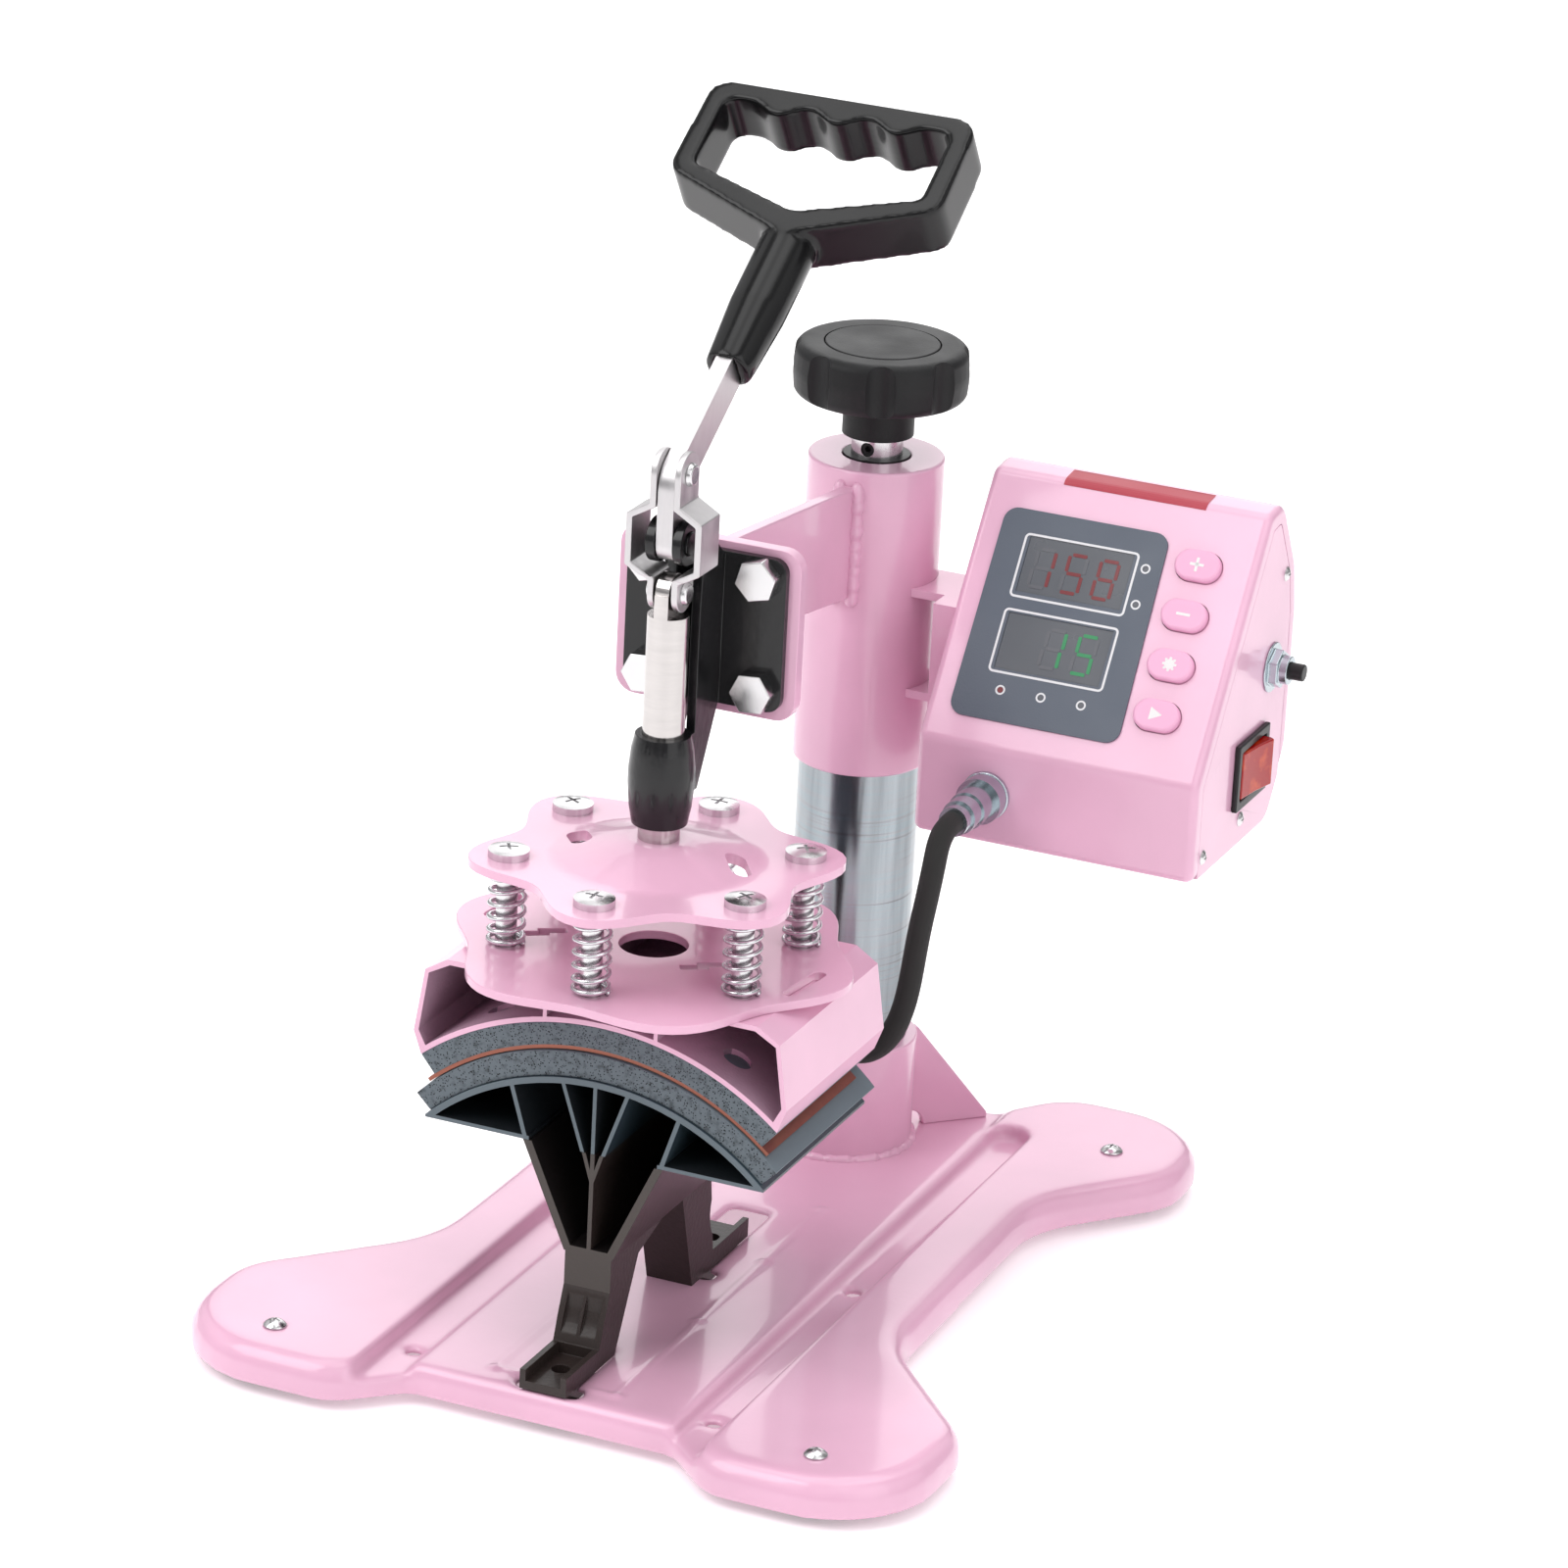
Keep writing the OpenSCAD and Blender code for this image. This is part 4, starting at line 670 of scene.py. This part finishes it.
bm = bmesh.new()
for k in range(6):
    a = math.radians(30 + 60 * k)
    spring_at(bm, SCREW_CIRCLE_R * math.cos(a), SCREW_CIRCLE_R * math.sin(a))
bmesh.ops.remove_doubles(bm, verts=bm.verts, dist=1e-6)
bmesh.ops.holes_fill(bm, edges=[e for e in bm.edges if e.is_boundary], sides=12)
bmesh.ops.recalc_face_normals(bm, faces=bm.faces)
springs = piece_from("pressure_coils", bm)
finish_piece(springs, "heated_platen", spring_steel, ["pressure_springs"])
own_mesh(springs)
print("springs", len(springs.data.polygons))


# %% [markdown]
# Welds join the web and the backing plate to the sleeve, and the socket to the deck. A bead is a
# row of overlapping, flattened drops, each one a little different, so it is made from small
# spheres on a line that are then joined by a voxel skin.

# %% Weld beads
def bead(name, points, size, body):
    bm = bmesh.new()
    for i, p in enumerate(points):
        swell = 1 + 0.16 * math.sin(2.4 * i) + 0.1 * math.sin(5.1 * i)
        bmesh.ops.create_icosphere(bm, subdivisions=2, radius=size * swell * MM,
                                   matrix=Matrix.Translation(at(*p)))
    return finish_piece(melted(piece_from(name, bm), 0.55, 4), body, pink_paint)


def spread(a, b, count):
    return [tuple(p + (q - p) * i / (count - 1) for p, q in zip(a, b)) for i in range(count)]


def round_foot(cx, cy, radius, z, a0, a1, count):
    angles = [math.radians(a0 + (a1 - a0) * i / (count - 1)) for i in range(count)]
    return [(cx + radius * math.cos(a), cy + radius * math.sin(a), z) for a in angles]


tube_low, tube_high = edges_of("column_tube")
COLUMN_Y = (tube_low.y + tube_high.y) / 2
SLEEVE_R = 23.8
socket_low, socket_high = edges_of("column_socket")
socket_r = (socket_high.x - socket_low.x) / 2
for side in (-1, 1):
    bead("web_weld_%s" % ("left" if side < 0 else "right"),
         spread((side * 3.2, COLUMN_Y - SLEEVE_R, 225), (side * 3.2, COLUMN_Y - SLEEVE_R, 266), 24),
         2.6, "carriage")
bead("socket_weld", round_foot(0, COLUMN_Y, socket_r, socket_low.z, 0, 360, 84), 2.1, "base")
bead("backing_weld", spread((-2.8, 38, 244), (-2.8, 38, 277), 22), 1.6, "carriage")
print("welds done")


# %% [markdown]
# Small repeated shapes are made one at a time in a bmesh of their own, put in place, and then
# poured into the piece they belong to. That way a step on one shape never touches the others.

# %% Pour one bmesh into another
def add_to(bm, part):
    mesh = bpy.data.meshes.new("part")
    part.to_mesh(mesh)
    part.free()
    bm.from_mesh(mesh)
    bpy.data.meshes.remove(mesh)


# %% [markdown]
# The control panel lies in the plane of the box's sloped face. `on_panel` gives a place on it
# from the left edge and the lower bend, so windows, digits and lamps are laid out like a drawing
# and then carried onto the slope together.

# %% The panel's plane
SLOPE = math.radians(55)
BOX_FRONT, SLOPE_Z = 116, 194
panel_frame = (Matrix.Translation(at(0, BOX_FRONT, SLOPE_Z)) @ Matrix.Rotation(SLOPE, 4, "X"))


def on_panel(x, s, lift=0.0):
    return panel_frame @ (Vector((x, s, lift)) * MM)


def panel_plate(bm, x, s, w, h, low, high, corner=0.0):
    """Adds a rounded plate on the panel, centred on x, s, from low to high above it."""
    plate = bmesh.new()
    bmesh.ops.create_grid(plate, x_segments=1, y_segments=1, size=0.5)
    bmesh.ops.scale(plate, verts=plate.verts, vec=(w * MM, h * MM, 1))
    if corner:
        bmesh.ops.bevel(plate, geom=plate.verts[:], offset=corner * MM, offset_type="OFFSET",
                        segments=5, profile=0.5, affect="VERTICES", material=-1)
    lifted = bmesh.ops.extrude_face_region(plate, geom=plate.faces[:])
    top = [g for g in lifted["geom"] if isinstance(g, bmesh.types.BMVert)]
    bmesh.ops.translate(plate, verts=top, vec=(0, 0, (high - low) * MM))
    plate.transform(panel_frame @ Matrix.Translation(Vector((x, s, low)) * MM))
    add_to(bm, plate)


def panel_piece(name, plates, mat, body="carriage"):
    bm = bmesh.new()
    for plate in plates:
        panel_plate(bm, *plate)
    bmesh.ops.recalc_face_normals(bm, faces=bm.faces)
    return finish_piece(piece_from(name, bm, smooth=False), body, mat)


# %% [markdown]
# The printed film is dark blue-grey with a satin surface. Behind its two windows sit seven-part
# digits: dim red above, green below. A lit bar is an emissive strip, and an unlit one stays just
# visible, as on a real module. White line frames and lamp rings are printed on the film, and one
# small lamp of the five is lit.

# %% Film, windows and digits
film = moulded("printed film", (0.075, 0.092, 0.125), 0.4, 0.2, 1400)
window = moulded("tinted window", (0.055, 0.062, 0.078), 0.3, 0.02, 200)
white_ink = moulded("white print", (0.72, 0.72, 0.74), 0.5, 0.05, 900)
unlit = moulded("unlit bar", (0.068, 0.072, 0.088), 0.3, 0.02, 200)


def lamp(name, color, strength):
    mat = moulded(name, [c * 0.6 for c in color], 0.4, 0.05, 600)
    shader_of(mat).inputs["Emission Color"].default_value = (*color, 1)
    shader_of(mat).inputs["Emission Strength"].default_value = strength
    return mat


red_lit = lamp("red digit", (0.2, 0.012, 0.018), 0.25)
green_lit = lamp("green digit", (0.012, 0.24, 0.08), 0.4)

nodes["display_panel"].data.materials.clear()
nodes["display_panel"].data.materials.append(film)
nodes["display_lenses"].data.materials.clear()
nodes["display_lenses"].data.materials.append(window)

SEGMENTS = {"0": "abcdef", "1": "bc", "2": "abged", "3": "abgcd", "4": "fgbc",
            "5": "afgcd", "6": "afgedc", "7": "abc", "8": "abcdefg", "9": "abcdfg"}
BAR_PLACES = {"a": (0, 1, 0), "g": (0, 0, 0), "d": (0, -1, 0), "f": (-1, 0.5, 1),
              "b": (1, 0.5, 1), "e": (-1, -0.5, 1), "c": (1, -0.5, 1)}
DIGIT_W, DIGIT_H, BAR_T = 6.4, 6.8, 1.25


def digit_bars(figure, x, s):
    """Plates for one digit's lit and unlit bars, centred on x, s."""
    lit, dark = [], []
    for bar, (dx, ds, upright) in BAR_PLACES.items():
        across, along = (BAR_T, DIGIT_H - 1.2) if upright else (DIGIT_W - 1.2, BAR_T)
        slant = 0.08 * ds * DIGIT_H
        plate = (x + dx * DIGIT_W / 2 + slant, s + ds * DIGIT_H, across, along, 0.45, 0.62, 0.4)
        (lit if bar in SEGMENTS[figure] else dark).append(plate)
    return lit, dark


UPPER_S, LOWER_S = 65.2, 37.9
rows = [("upper", "158", UPPER_S, (71, 82.5, 94), red_lit),
        ("lower", "15", LOWER_S, (82.5, 94), green_lit)]
for row, text, s, places, mat in rows:
    lit, dark = [], []
    for figure, x in zip(text, places):
        on, off = digit_bars(figure, x, s)
        lit += on
        dark += off
    panel_piece(row + "_digits", lit, mat)
    panel_piece(row + "_digits_unlit", dark, unlit)


def line_frame(bm, x, s, w, h, t, low, high):
    """Adds a printed line of width t round a rounded window, as one closed band."""
    band = bmesh.new()
    bmesh.ops.create_grid(band, x_segments=1, y_segments=1, size=0.5)
    bmesh.ops.scale(band, verts=band.verts, vec=((w + t) * MM, (h + t) * MM, 1))
    bmesh.ops.bevel(band, geom=band.verts[:], offset=1.8 * MM, offset_type="OFFSET", segments=5,
                    profile=0.5, affect="VERTICES", material=-1)
    inner = band.faces[:]
    bmesh.ops.inset_region(band, faces=inner, thickness=t * MM, use_boundary=True,
                           use_even_offset=True)
    bmesh.ops.delete(band, geom=inner, context="FACES")
    lifted = bmesh.ops.extrude_face_region(band, geom=band.faces[:])
    top = [g for g in lifted["geom"] if isinstance(g, bmesh.types.BMVert)]
    bmesh.ops.translate(band, verts=top, vec=(0, 0, (high - low) * MM))
    band.transform(panel_frame @ Matrix.Translation(Vector((x, s, low)) * MM))
    add_to(bm, band)


ink_low, ink_high = 0.7, 0.8
bm = bmesh.new()
for s in (UPPER_S, LOWER_S):
    line_frame(bm, 82.9, s, 41.2, 22.4, 0.8, ink_low, ink_high)
bmesh.ops.recalc_face_normals(bm, faces=bm.faces)
finish_piece(piece_from("window_frames", bm, False), "carriage", white_ink)


def lamp_rings(places, r_out, r_in, low, high):
    bm = bmesh.new()
    for x, s in places:
        made = bmesh.ops.create_circle(bm, segments=24, radius=r_out * MM)
        inner = bmesh.ops.create_circle(bm, segments=24, radius=r_in * MM)
        verts = made["verts"] + inner["verts"]
        edges = list({e for v in verts for e in v.link_edges})
        ring = bmesh.ops.bridge_loops(bm, edges=edges)
        lifted = bmesh.ops.extrude_face_region(bm, geom=ring["faces"])
        top = [g for g in lifted["geom"] if isinstance(g, bmesh.types.BMVert)]
        bmesh.ops.translate(bm, verts=top, vec=(0, 0, (high - low) * MM))
        place = panel_frame @ Matrix.Translation(Vector((x, s, low)) * MM)
        bmesh.ops.transform(bm, verts=verts + top, matrix=place)
    bmesh.ops.recalc_face_normals(bm, faces=bm.faces)
    return bm


LAMPS = [(107, 71.7), (107, 58.7), (68.3, 20.5), (83.1, 20.5), (97.8, 20.5)]
finish_piece(piece_from("lamp_rings", lamp_rings(LAMPS, 1.75, 1.15, ink_low, ink_high), False),
             "carriage", white_ink)
lamp_glass = [(x, s, 2.0, 2.0, 0.7, 0.78, 0.98) for x, s in LAMPS]
panel_piece("lamp_glass", lamp_glass[:2] + lamp_glass[3:], unlit)
panel_piece("lamp_glass_red", lamp_glass[2:3], red_lit)


# %% [markdown]
# Four soft keys stand in a row beside the film. Each has a plain sign in relief: more, less,
# settings and start. A sign is a few small plates that move with their key.

# %% Signs on the keys
KEY_X, KEY_TOP = 125, 2.8


def sign_plate(s, dx, ds, w, h):
    return (KEY_X + dx, s + ds, w, h, KEY_TOP - 0.1, KEY_TOP + 0.12, 0.2)


def gear(s):
    """A hub with eight teeth round it."""
    plates = [(KEY_X, s, 3.6, 3.6, KEY_TOP - 0.1, KEY_TOP + 0.12, 1.75)]
    for k in range(8):
        a = math.tau * k / 8
        plates.append(sign_plate(s, 2.1 * math.cos(a), 2.1 * math.sin(a), 0.9, 0.9))
    return plates


SIGNS = {"plus": [sign_plate(76, 0, 0, 5, 1), sign_plate(76, 0, 0, 1, 5)],
         "minus": [sign_plate(58, 0, 0, 5, 1)], "set": gear(40),
         "start": [sign_plate(22, -1.8 + 0.6 * k, 0, 0.62, 4.4 - 0.62 * k) for k in range(7)]}
for key, plates in SIGNS.items():
    panel_piece(key + "_sign", plates, label_white, key + "_key")
print("panel done")


# %% [markdown]
# Four large, soft lamps stand round the machine: a key from the left, a fill from the right, one
# above and one behind. Large lamps make soft shadows and long, smooth highlights on the paint.

# %% Lamps
def area_light(name, place, size, power, target):
    light = bpy.data.lights.new(name, "AREA")
    light.shape = "RECTANGLE"
    light.size, light.size_y = size
    light.energy = power
    lamp_object = bpy.data.objects.new(name, light)
    lamp_object.location = place
    lamp_object.rotation_euler = (target - Vector(place)).to_track_quat("-Z", "Y").to_euler()
    bpy.context.collection.objects.link(lamp_object)


focus = at(0, 60, 150)
area_light("key", at(-900, -900, 1500), (1.3, 1.3), 16, focus)
area_light("fill", at(1400, -700, 900), (1.4, 1.8), 8, focus)
area_light("top", at(100, 300, 1900), (1.6, 1.6), 12, focus)
area_light("rear", at(-500, 1500, 900), (1.5, 1.2), 7, focus)
print("lamps", len(bpy.data.lights))


# %% [markdown]
# Paint and plate only look glossy when there is something to mirror. The studio is a pale dome
# that is bright above and dims towards the horizon, with soft dark bands between its windows.

# %% Studio dome
def two_stops(made, *stops):
    for element, (place, value) in zip(made.color_ramp.elements, stops):
        element.position, element.color = place, value


world = bpy.data.worlds.new("studio")
bpy.context.scene.world = world
world.use_nodes = True
sky = world.node_tree
place = sky.nodes.new("ShaderNodeTexCoord")
split = sky.nodes.new("ShaderNodeSeparateXYZ")
sky.links.new(place.outputs["Generated"], split.inputs["Vector"])
dome = sky.nodes.new("ShaderNodeValToRGB")
two_stops(dome, (0.0, (0.3, 0.3, 0.31, 1)), (0.75, (1, 1, 1, 1)))
sky.links.new(split.outputs["Z"], dome.inputs["Fac"])
bands = sky.nodes.new("ShaderNodeTexWave")
bands.inputs["Scale"].default_value = 0.55
bands.inputs["Distortion"].default_value = 1.2
sky.links.new(place.outputs["Generated"], bands.inputs["Vector"])
shutter = sky.nodes.new("ShaderNodeValToRGB")
two_stops(shutter, (0.25, (0.3, 0.3, 0.3, 1)), (0.55, (1, 1, 1, 1)))
sky.links.new(bands.outputs["Fac"], shutter.inputs["Fac"])
both = sky.nodes.new("ShaderNodeMixRGB")
both.blend_type = "MULTIPLY"
both.inputs["Fac"].default_value = 1.0
sky.links.new(dome.outputs["Color"], both.inputs["Color1"])
sky.links.new(shutter.outputs["Color"], both.inputs["Color2"])
sky.links.new(both.outputs["Color"], sky.nodes["Background"].inputs["Color"])
sky.nodes["Background"].inputs["Strength"].default_value = 1.0
bpy.context.scene.view_settings.view_transform = "Standard"
print("dome", len(sky.nodes), "nodes")


# %% [markdown]
# The floor is a plain pale sheet that shines a very little, so that its far edge stays as light as
# the rest. It is marked as stage, because it isn't part of the press. Then the boxes of the frame
# and of the finished model are listed as corners.

# %% Floor and boxes
bm = bmesh.new()
bmesh.ops.create_grid(bm, x_segments=1, y_segments=1, size=6)
floor = piece_from("floor", bm, smooth=False)
floor.data.materials.append(new_material("pale floor", (0.93, 0.92, 0.925), 0.7,
                                         Emission_Color=(1, 1, 1, 1), Emission_Strength=0.3))
floor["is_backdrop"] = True

rows = [[list(map(float, corner)) for corner in box] for box in (cad_bounds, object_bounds())]
